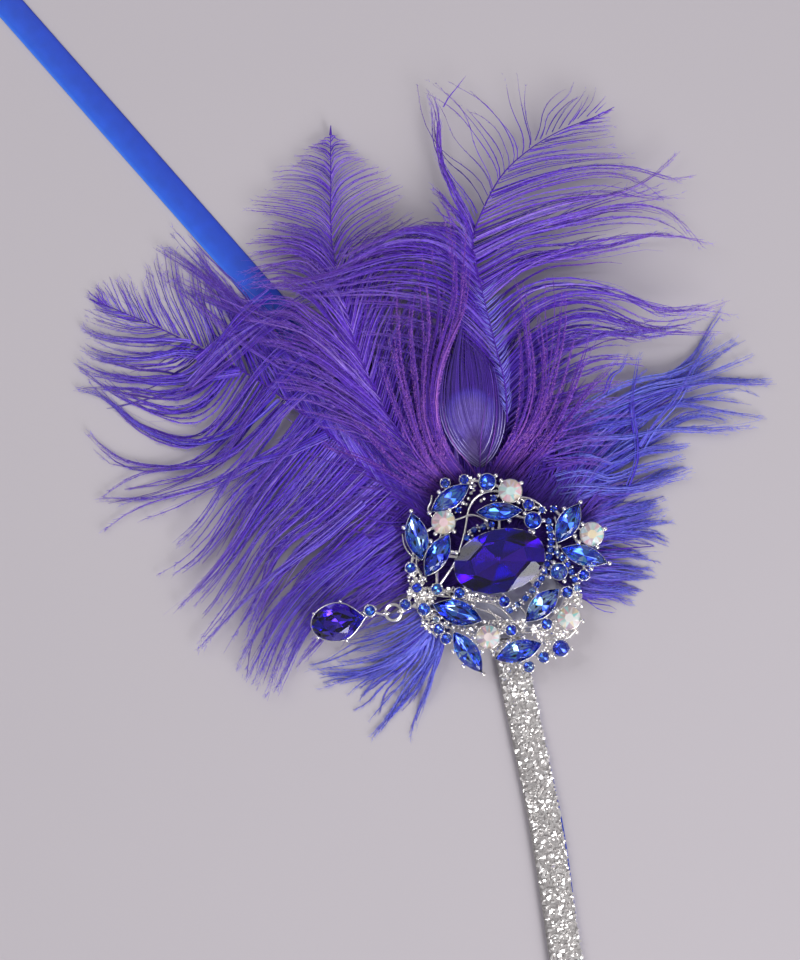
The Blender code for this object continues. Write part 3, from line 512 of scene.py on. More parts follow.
def splinter_mesh():
    """Splinters side by side along the band, each turned its own way."""
    rng = np.random.default_rng(52)
    shapes = splinter_shapes()
    bm = bmesh.new()
    line = smooth_line(BAND_ROUTE, BAND_STEPS)
    ahead = heading(line)
    reach = travel(line)
    half = BAND_WIDTH / 2 - BAND_MARGIN
    alongs = np.arange(FIRST_SPLINTER, reach[-1] - END_MARGIN, SPLINTER_STEP)
    acrosses = np.arange(-half, half + 0.01, SPLINTER_STEP)
    for along in alongs:
        for across in acrosses:
            far = along + rng.uniform(-SPLINTER_SHIFT, SPLINTER_SHIFT)
            side = np.clip(across + rng.uniform(-SPLINTER_SHIFT, SPLINTER_SHIFT), -half, half)
            x, y = (np.interp(far, reach, line[:, axis]) for axis in (0, 1))
            dx, dy = (np.interp(far, reach, ahead[:, axis]) for axis in (0, 1))
            dome = SPLINTER_DOME * (1.0 - (side / half) ** 2)
            height = BAND_BOTTOM + SPLINTER_LEVEL + dome + rng.uniform(-0.1, 0.35)
            spot = Vector((x + dy * side, y - dx * side, height))
            turn = Matrix.Rotation(rng.uniform(0.0, 6.3), 4, "Z")
            turn = turn @ Matrix.Rotation(rng.normal(0.0, 0.5), 4, "X")
            place = Matrix.Translation(spot * MM) @ turn @ Matrix.Scale(rng.uniform(*SPLINTER_SIZE), 4)
            mesh = shapes[int(rng.integers(len(shapes)))]
            mesh.transform(place)
            bm.from_mesh(mesh)
            mesh.transform(place.inverted())
    print("splinters:", len(alongs) * len(acrosses))
    return mesh_from(bm, "splinters")


# %% The crystal and the strap's finishes
def crystal_material():
    """Crushed crystal with a mirror back: bright and hard, with a slight change of grey."""
    material, shader = new_material(
        "crystal", (0.95, 0.93, 0.92), Roughness=0.20, Metallic=0.75, Coat_Weight=1.0, Coat_Roughness=0.03
    )
    mottled(material, shader, (0.93, 0.90, 0.89), 420.0, 0.9)
    return material


def strap_material():
    """The grey resin and cloth between the splinters: its own grey, darkened by painted shade for the gaps.
    """
    # Its dark grey is partly painted shade for the gaps between the splinters.
    material, shader = new_material("strap", (0.40, 0.40, 0.42), Roughness=0.45, Metallic=0.3)
    mask = mottled(material, shader, (0.38, 0.36, 0.36), 1500.0, 1.4)
    bumped(material.node_tree, shader, mask, 0.6, 0.0003)
    return material


strap_mesh = flat_sweep(smooth_line(BAND_ROUTE, BAND_RINGS), BAND_WIDTH, BAND_SECTION, BAND_BOTTOM)
add_piece(
    "band", [strap_mesh, splinter_mesh()], [strap_material(), crystal_material()], "crystal_chips",
    ["crystal_band"],
)

# %% [markdown]
# ## The pad
# Between band and brooch lies a flat pad covered with grey satin, which holds the ends of the quills. It
# shows through the lower half of the openwork, with a few soft creases. A sphere pressed flat gives the
# round edge, and a sum of slanting waves raises the creases, only in the pad's lower part and away from its
# rim.

# %% Press the pad
PAD_CENTRE = (0.0, -5.0)
PAD_RADII = (21.8, 18.8)
PAD_BOTTOM = 3.6
PAD_THICK = 1.2
PAD_SEGMENTS = (96, 48)
PAD_EDGE = 0.35
CREASE_HEIGHT = 1.0
CREASES_START = (-6.0, -10.0)


def pad_mesh():
    """A flat oval cushion with creases in its lower half."""
    bm = bmesh.new()
    around, down = PAD_SEGMENTS
    bmesh.ops.create_uvsphere(bm, u_segments=around, v_segments=down, radius=1.0)
    for vert in bm.verts:
        x, y, z = vert.co
        flat = math.hypot(x, y)
        wide = math.sqrt(flat) / flat if flat > 1e-6 else 1.0
        height = PAD_BOTTOM + PAD_THICK / 2 * (1.0 + math.copysign(abs(z) ** PAD_EDGE, z))
        px = PAD_CENTRE[0] + x * wide * PAD_RADII[0]
        py = PAD_CENTRE[1] + y * wide * PAD_RADII[1]
        if z > 0.0:
            fold = math.sin(0.42 * px + 0.75 * py) + 0.6 * math.sin(0.95 * px - 0.35 * py + 1.0)
            free = float(ease(*CREASES_START, py)) * min(1.0, (1.0 - flat) * 3.0)
            height += CREASE_HEIGHT * free * (0.5 + 0.28 * fold)
        vert.co = Vector((px, py, height)) * MM
    return mesh_from(bm, "pad", smooth=True)


def pad_material():
    """Grey satin with a fine weave."""
    material, shader = new_material(
        "grey satin", (0.46, 0.46, 0.58), Roughness=0.32, Sheen_Weight=0.4, Sheen_Roughness=0.35
    )
    mottled(material, shader, (0.47, 0.47, 0.60), 220.0, 0.35)
    tree = material.node_tree
    place = node(tree, "ShaderNodeTexCoord")
    weave = node(tree, "ShaderNodeTexWave", {
        "Vector": place.outputs["Object"], "Scale": 1600.0, "Distortion": 1.5,
    })
    bumped(tree, shader, weave.outputs["Fac"], 0.25, 0.0001)
    return material


pad = add_piece("pad", [pad_mesh()], [pad_material()], "pad_cloth", ["base_pad"])

# %% [markdown]
# ## Cut stones
# The blue stones are glass with a mirror foil on the back. Light goes in through the crown, is thrown back
# by the foil and leaves through another facet, and that path is what makes them flash, so each stone is a
# closed body with glass above its girdle and foil below it. Every cut here is convex, so the facets need no
# list: the rings of corner points are set at their heights and one convex hull finds the table, kites,
# stars and girdle facets.

# %% Outlines and cuts
STONES = {
    # cut, x, y, turn, length, width, from above
    "big_oval_stone": ("oval", -0.3, 1.4, 15, 30.2, 20.5),
    "marquise_01": ("marquise", -16.1, 21.6, 35, 15.2, 6.2),
    "marquise_02": ("marquise", -26.9, 9.2, -77.5, 15.6, 7.2),
    "marquise_03": ("marquise", -20.3, 3.2, 61, 15.6, 7.0),
    "marquise_04": ("marquise", -0.3, 17.3, 2, 15.0, 5.7),
    "marquise_05": ("marquise", 21.8, 13.5, 60, 14.4, 7.0),
    "marquise_06": ("marquise", 27.0, 3.1, -17, 15.6, 6.4),
    "marquise_07": ("marquise", 13.5, -12.9, 45, 15.0, 7.2),
    "marquise_08": ("marquise", 5.9, -27.7, 18, 16.0, 7.0),
    "marquise_09": ("marquise", -10.5, -28.0, -55, 16.0, 7.0),
    "marquise_10": ("marquise", -13.7, -15.3, -18, 16.6, 8.0),
    "iridescent_round_1": ("round", -18.3, 13.8, 10, 7.4, 7.4),
    "iridescent_round_2": ("round", 3.2, 23.9, 0, 7.3, 7.3),
    "iridescent_round_3": ("round", 29.5, 10.0, 20, 7.4, 7.4),
    "iridescent_round_4": ("round", 22.1, -16.9, 5, 7.4, 7.4),
    "iridescent_round_5": ("round", -3.9, -23.1, 15, 7.4, 7.4),
    "medium_round_1": ("round", -4.2, 26.8, 0, 5.2, 5.2),
    "medium_round_2": ("round", 10.5, 14.4, 12, 5.2, 5.2),
    "medium_round_3": ("round", 18.9, -2.1, 24, 5.2, 5.2),
    "medium_round_4": ("round", 19.5, -26.8, 8, 5.2, 5.2),
}
SMALL_ROUNDS = (
    (-17.7, 26.4, 3.0), (-11.6, 27.5, 3.0), (9.1, 19.5, 3.4), (27.0, -3.2, 3.3), (21.6, -8.8, 3.5),
    (1.3, -11.7, 3.5), (3.5, -21.0, 3.5), (15.0, -19.0, 3.5), (14.0, -29.7, 3.5), (9.2, -32.8, 3.5),
    (-28.8, -0.9, 3.3), (-26.8, -7.3, 3.2), (-20.4, -7.8, 3.5), (-13.1, -9.0, 3.3), (-30.6, -12.7, 3.3),
    (-24.6, -14.2, 4.0), (-19.8, -20.6, 3.4), (-17.4, -23.7, 3.4),
)
for number, (x, y, size) in enumerate(SMALL_ROUNDS):
    STONES[f"small_round_{number + 1:02d}"] = ("round", x, y, 7.0 * number, size, size)
DROP_PLACE = (-52.2, -18.3)
DROP_TURN = 9.5
DROP_SIZE = (17.3, 12.1)
DROP_BOTTOM = 7.3
DROP_HEIGHT = 6.0
DROP_ROUND = (-42.0, -14.7, 3.3)
STONE_BOTTOM = 9.1
STONE_HEIGHTS = ((17.0, 8.0), (6.0, 4.0), (4.5, 3.4), (0.0, 2.2))
GIRDLE_SHARE = 0.46
OVAL_GIRDLE = 0.76
LIT_SIDE = 0.22
SAME_FACET = math.radians(1.0)
FOLDS = 8
CUT_RINGS = (
    # share of the outline, share of the height, and the points used of the outline
    (0.57, 1.0, "whole"), (0.80, 0.80, "half"), (1.0, 0.48, "all"), (1.0, 0.43, "all"), (0.46, 0.18, "half"),
)
WEDGE_RINGS = ((0.40, 1.0, "whole"), (1.0, 0.50, "all"), (1.0, 0.43, "all"), (0.46, 0.18, "half"))
OVAL_RINGS = ((0.70, 1.0, "half"), (1.0, 0.78, "all"), (1.0, 0.74, "all"), (0.62, 0.30, "half"))


def stone_height(length):
    """How tall a stone of a length is."""
    return next(height for longer, height in STONE_HEIGHTS if length > longer)


def outline_point(cut, angle, length, width):
    """A point of a stone's girdle: an ellipse, two arcs that meet in points, or a teardrop."""
    x = math.cos(angle)
    y = math.sin(angle)
    if cut == "marquise":
        y = math.copysign(1.0 - x * x, y) if abs(y) > 0.001 else 0.0
    if cut == "drop" and x > 0:
        y *= max(math.cos(x * math.pi / 2), 0.0) ** 0.55
    return x * length / 2, y * width / 2


def turned(x, y, turn, px, py):
    """A point of a stone's own plan, in the plan of the brooch."""
    c = math.cos(math.radians(turn))
    s = math.sin(math.radians(turn))
    return x + px * c - py * s, y + px * s + py * c


def cut_stone(plan, bottom, height, seed, rings=CUT_RINGS, girdle=GIRDLE_SHARE, folds=FOLDS):
    """A faceted stone from its plan: glass above the girdle in slot 0 and foil below it in slot 1."""
    cut, x, y, turn, length, width = plan
    rng = np.random.default_rng(seed)
    bm = bmesh.new()
    facet = bm.faces.layers.float.new("facet")
    for share, rise, which in rings:
        for step in range(2 * folds):
            if (which == "whole" and step % 2) or (which == "half" and step % 2 == 0):
                continue
            px, py = outline_point(cut, math.pi * step / folds, length * share, width * share)
            bm.verts.new(Vector((*turned(x, y, turn, px, py), bottom + rise * height)) * MM)
    bm.verts.new(Vector((x, y, bottom)) * MM)
    hull(bm)
    bmesh.ops.dissolve_limit(bm, angle_limit=SAME_FACET, verts=bm.verts, edges=bm.edges)
    bmesh.ops.recalc_face_normals(bm, faces=bm.faces)
    limit = (bottom + girdle * height) * MM
    for face in bm.faces:
        right = (face.calc_center_median().x / MM - x) / length
        # The facets at the right end of the big oval get the brightest foil colour, a painted highlight.
        if cut == "oval" and right > LIT_SIDE:
            face[facet] = 1.0
        else:
            face[facet] = rng.uniform(0.0, 0.75 if cut == "oval" else 1.0)
        face.material_index = 1 if face.normal.z < -0.05 and face.calc_center_median().z < limit else 0
    return mesh_from(bm, "stone")


# %% Glass, foil and the iridescent coat
def glass_material(name, tint):
    """Clear coloured glass with a faint streak of the melt in its roughness."""
    material, shader = new_material(name, tint, Roughness=0.0, IOR=1.56, Transmission_Weight=1.0)
    mottled(material, shader, tint, 160.0, 0.12)
    return material


def foil_material(name, colors, rough=0.06):
    """The mirror foil behind a stone, a little different behind each facet."""
    material, shader = new_material(name, colors[0], Roughness=rough, Metallic=1.0)
    tree = material.node_tree
    stops = [(index / (len(colors) - 1), color) for index, color in enumerate(colors)]
    color = ramp(tree, attribute(tree, "facet"), stops)
    mottled(material, shader, color, 500.0, 0.25)
    return material


def iridescent_material():
    """The pearly coat of the white stones: each facet leans to pink, green, yellow or lilac."""
    material, shader = new_material(
        "iridescent", (0.9, 0.9, 0.9), Roughness=0.07, Metallic=0.25, Coat_Weight=1.0, Coat_Roughness=0.02
    )
    tree = material.node_tree
    color = ramp(tree, attribute(tree, "facet"), (
        (0.0, (1.0, 0.98, 1.0)), (0.14, (1.0, 0.55, 0.62)), (0.26, (1.0, 0.97, 0.95)),
        (0.42, (0.95, 0.97, 1.0)), (0.54, (0.40, 0.86, 0.80)), (0.66, (1.0, 0.98, 0.94)),
        (0.80, (1.0, 0.84, 0.55)), (1.0, (0.60, 0.46, 0.62)),
    ))
    mottled(material, shader, color, 420.0, 0.5)
    return material


SAPPHIRE_GLASS = glass_material("sapphire glass", (0.62, 0.78, 1.0))
SAPPHIRE_FOIL = foil_material(
    "sapphire foil", (
        (0.04, 0.05, 0.72), (0.08, 0.18, 1.0), (0.03, 0.05, 0.85), (0.28, 0.68, 1.0), (0.06, 0.10, 1.0),
        (0.75, 0.90, 1.0), (0.06, 0.07, 0.85), (0.14, 0.42, 1.0),
    )
)
DEEP_GLASS = glass_material("deep glass", (0.62, 0.42, 1.0))
# The last foil colour, a bright violet, is the painted highlight at the big oval's right end.
DEEP_FOIL = foil_material(
    "deep foil", ((0.12, 0.018, 0.50), (0.08, 0.022, 0.60), (0.13, 0.03, 0.70), (0.45, 0.05, 1.0)), 0.12
)
DROP_FOIL = foil_material(
    "drop foil", ((0.08, 0.02, 0.48), (0.14, 0.10, 1.0), (0.09, 0.03, 0.64), (0.40, 0.46, 1.0))
)
IRIDESCENT = iridescent_material()

# %% Set the stones
BLUE = ([SAPPHIRE_GLASS, SAPPHIRE_FOIL], "sapphire", CUT_RINGS, GIRDLE_SHARE)
STONE_FINISHES = {
    # the first word of a stone's name, then its materials, its slot, its cut and its girdle
    "big": ([DEEP_GLASS, DEEP_FOIL], "sapphire", OVAL_RINGS, OVAL_GIRDLE),
    "iridescent": ([IRIDESCENT, IRIDESCENT], "iridescent", WEDGE_RINGS, GIRDLE_SHARE),
}
for number, (name, plan) in enumerate(STONES.items()):
    materials, slot, rings, girdle = STONE_FINISHES.get(name.split("_")[0], BLUE)
    mesh = cut_stone(plan, STONE_BOTTOM, stone_height(plan[4]), 300 + number, rings, girdle)
    add_piece(name + "_cut", [mesh], materials, slot, [name])
drop_mesh = cut_stone(("drop", *DROP_PLACE, DROP_TURN, *DROP_SIZE), DROP_BOTTOM, DROP_HEIGHT, 390)
add_piece("drop_stone_cut", [drop_mesh], [DEEP_GLASS, DROP_FOIL], "sapphire", ["drop_stone"])
drop_x, drop_y, drop_size = DROP_ROUND
round_plan = ("round", drop_x, drop_y, 0.0, drop_size, drop_size)
round_mesh = cut_stone(round_plan, STONE_BOTTOM, stone_height(drop_size), 391)
add_piece("drop_small_round_cut", [round_mesh], *BLUE[:2], ["drop_small_round"])

# %% [markdown]
# ## The silver openwork
# The brooch is cast and soldered from silver-coloured metal: bars and curved branches join the seats, each
# round stone has a thin rim, and claws with a small ball hold the stones. Rails of tiny stones run along
# the big one, and strings of silver grains fill the lower half. Bars, branches, rims and claws are all
# wires, so they go through the tube helper in a few calls, and the balls are small icospheres.

# %% Wires and balls
WIRE_LEVEL = 8.0
WIRE_POINTS = 14
WIRE_SIDES = 8
RIM_POINTS = 33
RIM_SIDES = 6
RING_STEPS = 24


def outline_ring(cut, x, y, turn, length, width, level):
    """The closed outline of a stone at a level."""
    ring = []
    for step in range(RING_STEPS + 1):
        spot = outline_point(cut, 2 * math.pi * step / RING_STEPS, length, width)
        ring.append((*turned(x, y, turn, *spot), level))
    return ring


class Silver:
    """Collects wires, rims, balls and grains of one silver piece, and makes them into meshes."""

    def __init__(self):
        self.wires = []
        self.rims = []
        self.balls = []
        self.grains = []

    def wire(self, points, radius):
        self.wires.append((smooth_line(points, WIRE_POINTS), radius))

    def rim(self, points, radius):
        self.rims.append((smooth_line(points, RIM_POINTS), radius))

    def ball(self, x, y, z, radius):
        self.balls.append((x, y, z, radius))

    def grain(self, x, y, z, radius):
        self.grains.append((x, y, z, radius))

    def corner_balls(self, x, y, turn, reach, level, radius):
        for quarter in range(4):
            self.ball(*turned(x, y, turn + 90.0 * quarter, reach, 0.0), level, radius)

    def meshes(self):
        made = []
        for wires, sides in ((self.wires, WIRE_SIDES), (self.rims, RIM_SIDES)):
            radii = np.array([radius for line, radius in wires])[:, None]
            made.append(tubes([line for line, radius in wires], radii, sides))
        for spots, fineness, turning in ((self.balls, 2, 0.0), (self.grains, 1, 1.0)):
            bm = bmesh.new()
            for x, y, z, radius in spots:
                turn = Matrix.Rotation(turning * (7.0 * x + 3.0 * y), 4, "X")
                spot = Matrix.Translation(Vector((x, y, z)) * MM) @ turn
                bmesh.ops.create_icosphere(bm, subdivisions=fineness, radius=radius * MM, matrix=spot)
            made.append(mesh_from(bm, "balls", smooth=fineness > 1))
        return made


# %% The silver finish
def silver_material():
    """Bright plated silver with a fine unevenness from casting."""
    material, shader = new_material("silver", (0.94, 0.91, 0.90), Roughness=0.16, Metallic=0.94)
    mask = mottled(material, shader, (0.94, 0.91, 0.90), 900.0, 0.4)
    tree = material.node_tree
    rough = node(tree, "ShaderNodeMapRange", {"Value": mask, "To Min": 0.10, "To Max": 0.30})
    join(tree, shader.inputs["Roughness"], rough.outputs["Result"])
    bumped(tree, shader, mask, 0.25, 0.0002)
    return material


SILVER = silver_material()

# %% Rails, branches and bars
INNER_RAIL = route(
    "15.7,14.1 16.0,11.8 16.3,9.5 16.4,7.2 16.2,4.9 15.8,2.6 15.2,0.3 14.3,-2.0 13.4,-4.3 12.0,-6.2 "
    "10.3,-8.2 8.1,-10.7 5.7,-12.8 3.2,-14.6"
)
OUTER_RAIL = route("18.3,4.0 20.0,2.3 21.8,0.2 23.0,-2.2 24.1,-4.7 24.9,-7.5")
UPPER_RAIL = route("-10.8,8.8 -8.5,11.3 -5.6,12.4 -2.7,13.1")
SINGLE_TINY = route("-13.6,17.8 -2.1,21.6 13.4,17.8 17.2,18.1 -20.7,-17.6")
BRANCHES = routes(
    "0.6,23.8 -3.2,23.8 -6.2,22.8 -8.7,20.8 -10.0,18.3 -10.6,15.8 -11.2,12.0 -12.1,8.0 -13.6,3.2 "
    "-15.4,-0.6 -17.6,-3.8 -20.4,-7.8",
    "-17.0,13.8 -13.6,14.8 -10.6,15.8 -8.2,16.0 -5.8,15.1 -4.1,13.8",
    "-22.0,22.4 -22.3,20.3 -23.2,18.2 -22.6,16.3 -20.4,14.2", "6.0,22.0 9.6,21.4 12.6,19.6 15.0,17.4",
    "17.6,15.6 18.4,12.0 18.2,7.2 18.3,4.0",
    "-8.6,-13.6 -3.6,-15.2 0.4,-17.4 3.5,-21.0 8.4,-21.8 12.4,-21.4 15.0,-19.0",
    "-13.1,-9.0 -8.4,-10.8 -3.4,-11.4 1.3,-11.7 3.2,-14.6", "15.0,-19.0 17.4,-22.6 19.5,-26.8",
)
# Bars from seat to seat, with a short name for each stone: o, m for a marquise, i, r, s for the rounds.
BARS = (
    "o-m4 o-s14 o-s6 o-m3 m1-s1 m1-s2 m1-i1 s2-r1 r1-i2 i2-m4 i2-s3 m4-r2 m5-i3 m5-m6 i3-m6 m6-s4 s5-i4 "
    "m7-s5 m7-s8 s8-i4 r4-s9 s9-m8 m8-s10 m8-i5 s7-i5 m8-s7 i5-m9 i5-m10 m9-s18 s18-s17 s17-m10 s16-m10 "
    "s16-s15 s15-s12 s12-s11 s11-m2 s12-s13 s13-s14 s14-m10 m3-s13 m3-m2 m3-i1 m2-i1 s16-s13"
)
BARS_TO_POINT = (
    ("r2", (15.7, 14.1)), ("r3", (15.2, 0.3)), ("r3", (23.0, -2.2)), ("s5", (24.9, -7.5)),
    ("s4", (24.1, -4.7)), ("o", (15.2, 0.3)), ("o", (-10.8, 8.8)), ("o", (-2.7, 13.1)),
    ("m7", (10.3, -8.2)), ("s3", (13.4, 17.8)), ("m5", (17.2, 18.1)), ("m5", (16.3, 9.5)),
    ("m1", (-13.6, 17.8)), ("i2", (-2.1, 21.6)), ("m10", (-20.7, -17.6)), ("r2", (13.4, 17.8)),
    ("m6", (20.0, 2.3)),
)
SHORT_NAMES = {"o": "big_oval_stone", "m": "marquise_{:02d}", "i": "iridescent_round_{}",
               "r": "medium_round_{}", "s": "small_round_{:02d}"}


def stone_place(short):
    """Where a stone stands, from its short name."""
    name = SHORT_NAMES[short[0]]
    full = name.format(int(short[1:])) if len(short) > 1 else name
    return STONES[full][1], STONES[full][2]


# %% Claws
ROUND_CLAWS = {
    "iridescent_round_1": (64, 319, 235), "iridescent_round_2": (131, 36, 306),
    "iridescent_round_3": (22, 292, 134), "iridescent_round_4": (345, 250, 145),
    "iridescent_round_5": (180, 20, 285), "medium_round_1": (140, 37, 240), "medium_round_2": (255, 0, 140),
    "medium_round_3": (120, 300, 210), "medium_round_4": (0, 235, 120),
}
# For each marquise, how far along it each claw stands, and its side, or 0 for a tip.
MARQUISE_CLAWS = {
    "marquise_01": ((-2.0, 1), (2.5, -1), (-1, 0)), "marquise_02": ((-3.9, -1), (2.5, 1), (-1, 0)),
    "marquise_03": ((3.3, -1), (-1, 0)), "marquise_04": ((-4.5, -1), (3.2, -1)),
    "marquise_05": ((3.6, 1), (-2.6, -1), (1, 0)), "marquise_06": ((-3.0, 1), (3.5, -1), (1, 0)),
    "marquise_07": ((2.0, 1), (1.5, -1), (-1, 0)), "marquise_08": ((-2.5, 1), (3.0, 1), (-1.0, -1)),
    "marquise_09": ((-3.0, -1), (3.0, -1), (2.5, 1), (1, 0)),
    "marquise_10": ((-3.0, 1), (4.0, 1), (0.0, -1), (1, 0)),
}
OVAL_CLAWS = (35, 145, 215, 325)
# For each cut, how much wider than the stone its rim is, how high over the girdle, and its radius.
RIMS = {"round": (0.2, -0.45, 0.20), "marquise": (0.05, -0.12, 0.11), "oval": (-0.5, -0.9, 0.22)}
CLAW_REACH = 0.95
CLAW_RADIUS = 0.40
CLAW_BALL = 0.80
PRONG_BALL = 0.45
SEAT_SHARE = 0.82
SEAT_RADIUS = 0.45
PRONG_GAP = 0.15


def claw(silver, x, y, to_x, to_y, girdle):
    """A wire from under a stone, out past its girdle and up, with a ball on top."""
    steps = (0.4, WIRE_LEVEL), (0.85, WIRE_LEVEL + 0.5), (1.0, WIRE_LEVEL + 1.9), (0.97, girdle + 0.6)
    points = []
    for share, level in steps:
        points.append((x + (to_x - x) * share, y + (to_y - y) * share, level))
    silver.wire(points, CLAW_RADIUS)
    silver.ball(*points[-1][:2], girdle + 0.8, CLAW_BALL)


def claws_and_rims(silver):
    """Claws for every stone, a thin rim round its girdle and a seat under it."""
    for name, (cut, x, y, turn, length, width) in STONES.items():
        girdle = STONE_BOTTOM + (OVAL_GIRDLE if cut == "oval" else GIRDLE_SHARE) * stone_height(length)
        ends = []
        for angle in ROUND_CLAWS.get(name, ()):
            ends.append(turned(x, y, angle, length / 2 + CLAW_REACH, 0.0))
        for along, side in MARQUISE_CLAWS.get(name, ()):
            if side == 0:
                spot = (along * (length / 2 + CLAW_REACH), 0.0)
            else:
                spot = (along, side * (width / 2 * (1.0 - (2.0 * along / length) ** 2) + CLAW_REACH))
            ends.append(turned(x, y, turn, *spot))
        if cut == "oval":
            for angle in OVAL_CLAWS:
                spot = outline_point(
                    cut, math.radians(angle), length + 2 * CLAW_REACH, width + 2 * CLAW_REACH
                )
                ends.append(turned(x, y, turn, *spot))
        for end in ends:
            claw(silver, x, y, *end, girdle)
        if name.startswith("small"):
            silver.corner_balls(x, y, turn + 45.0, length / 2 + PRONG_GAP, girdle + PRONG_GAP, PRONG_BALL)
        grow, level, radius = RIMS[cut]
        sizes = np.array((length + grow, width + grow))
        silver.rim(outline_ring(cut, x, y, turn, *sizes, girdle + level), radius)
        seat = outline_ring(cut, x, y, turn, *(SEAT_SHARE * sizes), STONE_BOTTOM - SEAT_RADIUS)
        silver.rim(seat, SEAT_RADIUS)


# %% Grains, rails and curls
BAR_RADIUS = 0.62
BRANCH_RADIUS = 0.42
CURL_RADIUS = 0.30
LINK_RADIUS = 0.5
GRAIN_RADIUS = 0.46
GRAIN_STEP = 1.0
TINY_RADIUS = 1.05
TINY_LEVEL = 0.7
TINY_HEIGHT = 1.6
TINY_FOLDS = 5
RAIL_SIDE = 0.95
LOWER_HALF = -4.0
GRAIN_FIELDS = (
    # centre and reach of each patch
    ((-17.0, -9.8), (11.0, 2.8)), ((17.5, -20.8), (8.0, 3.4)), ((23.2, -11.0), (3.4, 4.4)),
    ((-21.0, -17.5), (5.0, 5.2)), ((13.5, -27.0), (8.0, 3.2)), ((2.0, -19.5), (7.5, 2.4)),
    ((18.8, 7.0), (1.4, 5.0)), ((-11.5, -22.0), (5.0, 2.2)), ((0.0, -28.5), (3.0, 2.6)),
    ((-27.5, -4.5), (2.6, 4.6)), ((-27.0, -10.5), (3.6, 3.0)), ((-2.5, -10.8), (5.5, 1.4)),
)
CURLS = routes(
    "-7.0,-11.6 -2.0,-12.6 2.0,-15.6 5.5,-19.0 10.5,-20.0 13.2,-18.6",
    "-4.0,-14.0 -0.5,-17.5 3.8,-18.6 8.0,-17.4 10.8,-15.2", "4.6,-12.2 7.6,-14.6 8.8,-17.6 7.0,-20.6",
    "12.2,-21.0 16.2,-24.0 21.4,-23.6 24.8,-20.4", "11.0,-23.2 15.0,-26.0 17.6,-29.0",
    "24.9,-7.5 25.8,-10.6 25.0,-13.4", "21.0,-9.6 21.8,-11.6 20.8,-13.2",
    "-25.4,-8.6 -19.6,-10.0 -13.4,-10.6 -8.0,-12.2", "-23.0,-16.4 -18.6,-18.8 -14.4,-21.4",
    "-10.5,16.0 -9.0,16.2 -6.0,15.3 -4.2,14.0 -4.2,12.8 -5.2,13.6", "-10.0,11.0 -8.5,11.8 -5.5,12.4",
    "-31.5,10.0 -30.9,6.5 -29.0,3.4 -26.0,1.5", "-26.5,4.6 -27.0,0.5 -25.6,-3.0 -23.6,-5.4",
    "-27.6,-9.8 -24.4,-18.4 -20.5,-23.4",
)


def grain_string(silver, start, stop, level):
    """Silver grains side by side between two places."""
    length = math.dist(start, stop)
    count = max(int(length / GRAIN_STEP), 1)
    for step in range(count + 1):
        share = step / count
        x, y = (a + (b - a) * share for a, b in zip(start, stop))
        silver.grain(x, y, level, GRAIN_RADIUS)


def on_stone(x, y, margin=0.45):
    """Whether a place lies on one of the stones or on its rim."""
    for cut, stone_x, stone_y, turn, length, width in STONES.values():
        px, py = turned(0.0, 0.0, -turn, x - stone_x, y - stone_y)
        if (px / (length / 2 + margin)) ** 2 + (py / (width / 2 + margin)) ** 2 < 1.0:
            return True
    return False


def grain_fields(silver):
    """Patches filled with grains wherever no stone is in the way."""
    rng = np.random.default_rng(61)
    for (x, y), (reach_x, reach_y) in GRAIN_FIELDS:
        for px in np.arange(-reach_x, reach_x, GRAIN_STEP):
            for py in np.arange(-reach_y, reach_y, GRAIN_STEP):
                spot = (x + px + rng.uniform(-0.35, 0.35), y + py + rng.uniform(-0.35, 0.35))
                if (px / reach_x) ** 2 + (py / reach_y) ** 2 < 1.0 and not on_stone(*spot):
                    silver.grain(*spot, WIRE_LEVEL + rng.uniform(0.4, 1.2), rng.uniform(0.48, 0.82))


def openwork(silver):
    """Bars, branches, rails and grains."""
    pairs = [(stone_place(a), stone_place(b)) for a, b in (bar.split("-") for bar in BARS.split())]
    pairs += [(stone_place(a), spot) for a, spot in BARS_TO_POINT]
    for start, stop in pairs:
        silver.wire(((*start, WIRE_LEVEL), (*stop, WIRE_LEVEL)), BAR_RADIUS)
        if start[1] < LOWER_HALF and stop[1] < LOWER_HALF:
            grain_string(silver, start, stop, WIRE_LEVEL + 0.75)
    for route in BRANCHES:
        silver.rim([(x, y, WIRE_LEVEL + 0.5) for x, y in route], BRANCH_RADIUS)
    for route in CURLS:
        silver.wire([(x, y, WIRE_LEVEL + 1.1) for x, y in route], CURL_RADIUS)
    for rail in (INNER_RAIL, OUTER_RAIL, UPPER_RAIL):
        silver.rim([(x, y, WIRE_LEVEL) for x, y in rail], BAR_RADIUS)
        for (x0, y0), (x1, y1) in zip(rail, rail[1:]):
            middle = ((x0 + x1) / 2, (y0 + y1) / 2)
            gap = math.dist((x0, y0), (x1, y1))
            nx, ny = (y0 - y1) / gap, (x1 - x0) / gap
            for side in (-RAIL_SIDE, RAIL_SIDE):
                silver.ball(middle[0] + side * nx, middle[1] + side * ny, WIRE_LEVEL + 1.6, GRAIN_RADIUS)
    for x, y in SINGLE_TINY:
        silver.corner_balls(x, y, 45.0, TINY_RADIUS + 0.1, WIRE_LEVEL + 1.5, 0.34)


GRAIN_CLUSTER = route(
    "-9.4,23.2 -8.6,24.2 -9.6,25.2 -8.3,25.6 -9.2,26.6 -8.2,27.6 -9.6,28.2 -6.2,20.6 -5.3,21.4 -11.0,19.6 "
    "-12.2,20.0 -10.2,21.4"
)

brooch_silver = Silver()
claws_and_rims(brooch_silver)
openwork(brooch_silver)
grain_fields(brooch_silver)
for x, y in GRAIN_CLUSTER:
    brooch_silver.grain(x, y, WIRE_LEVEL + 1.2, 0.7)

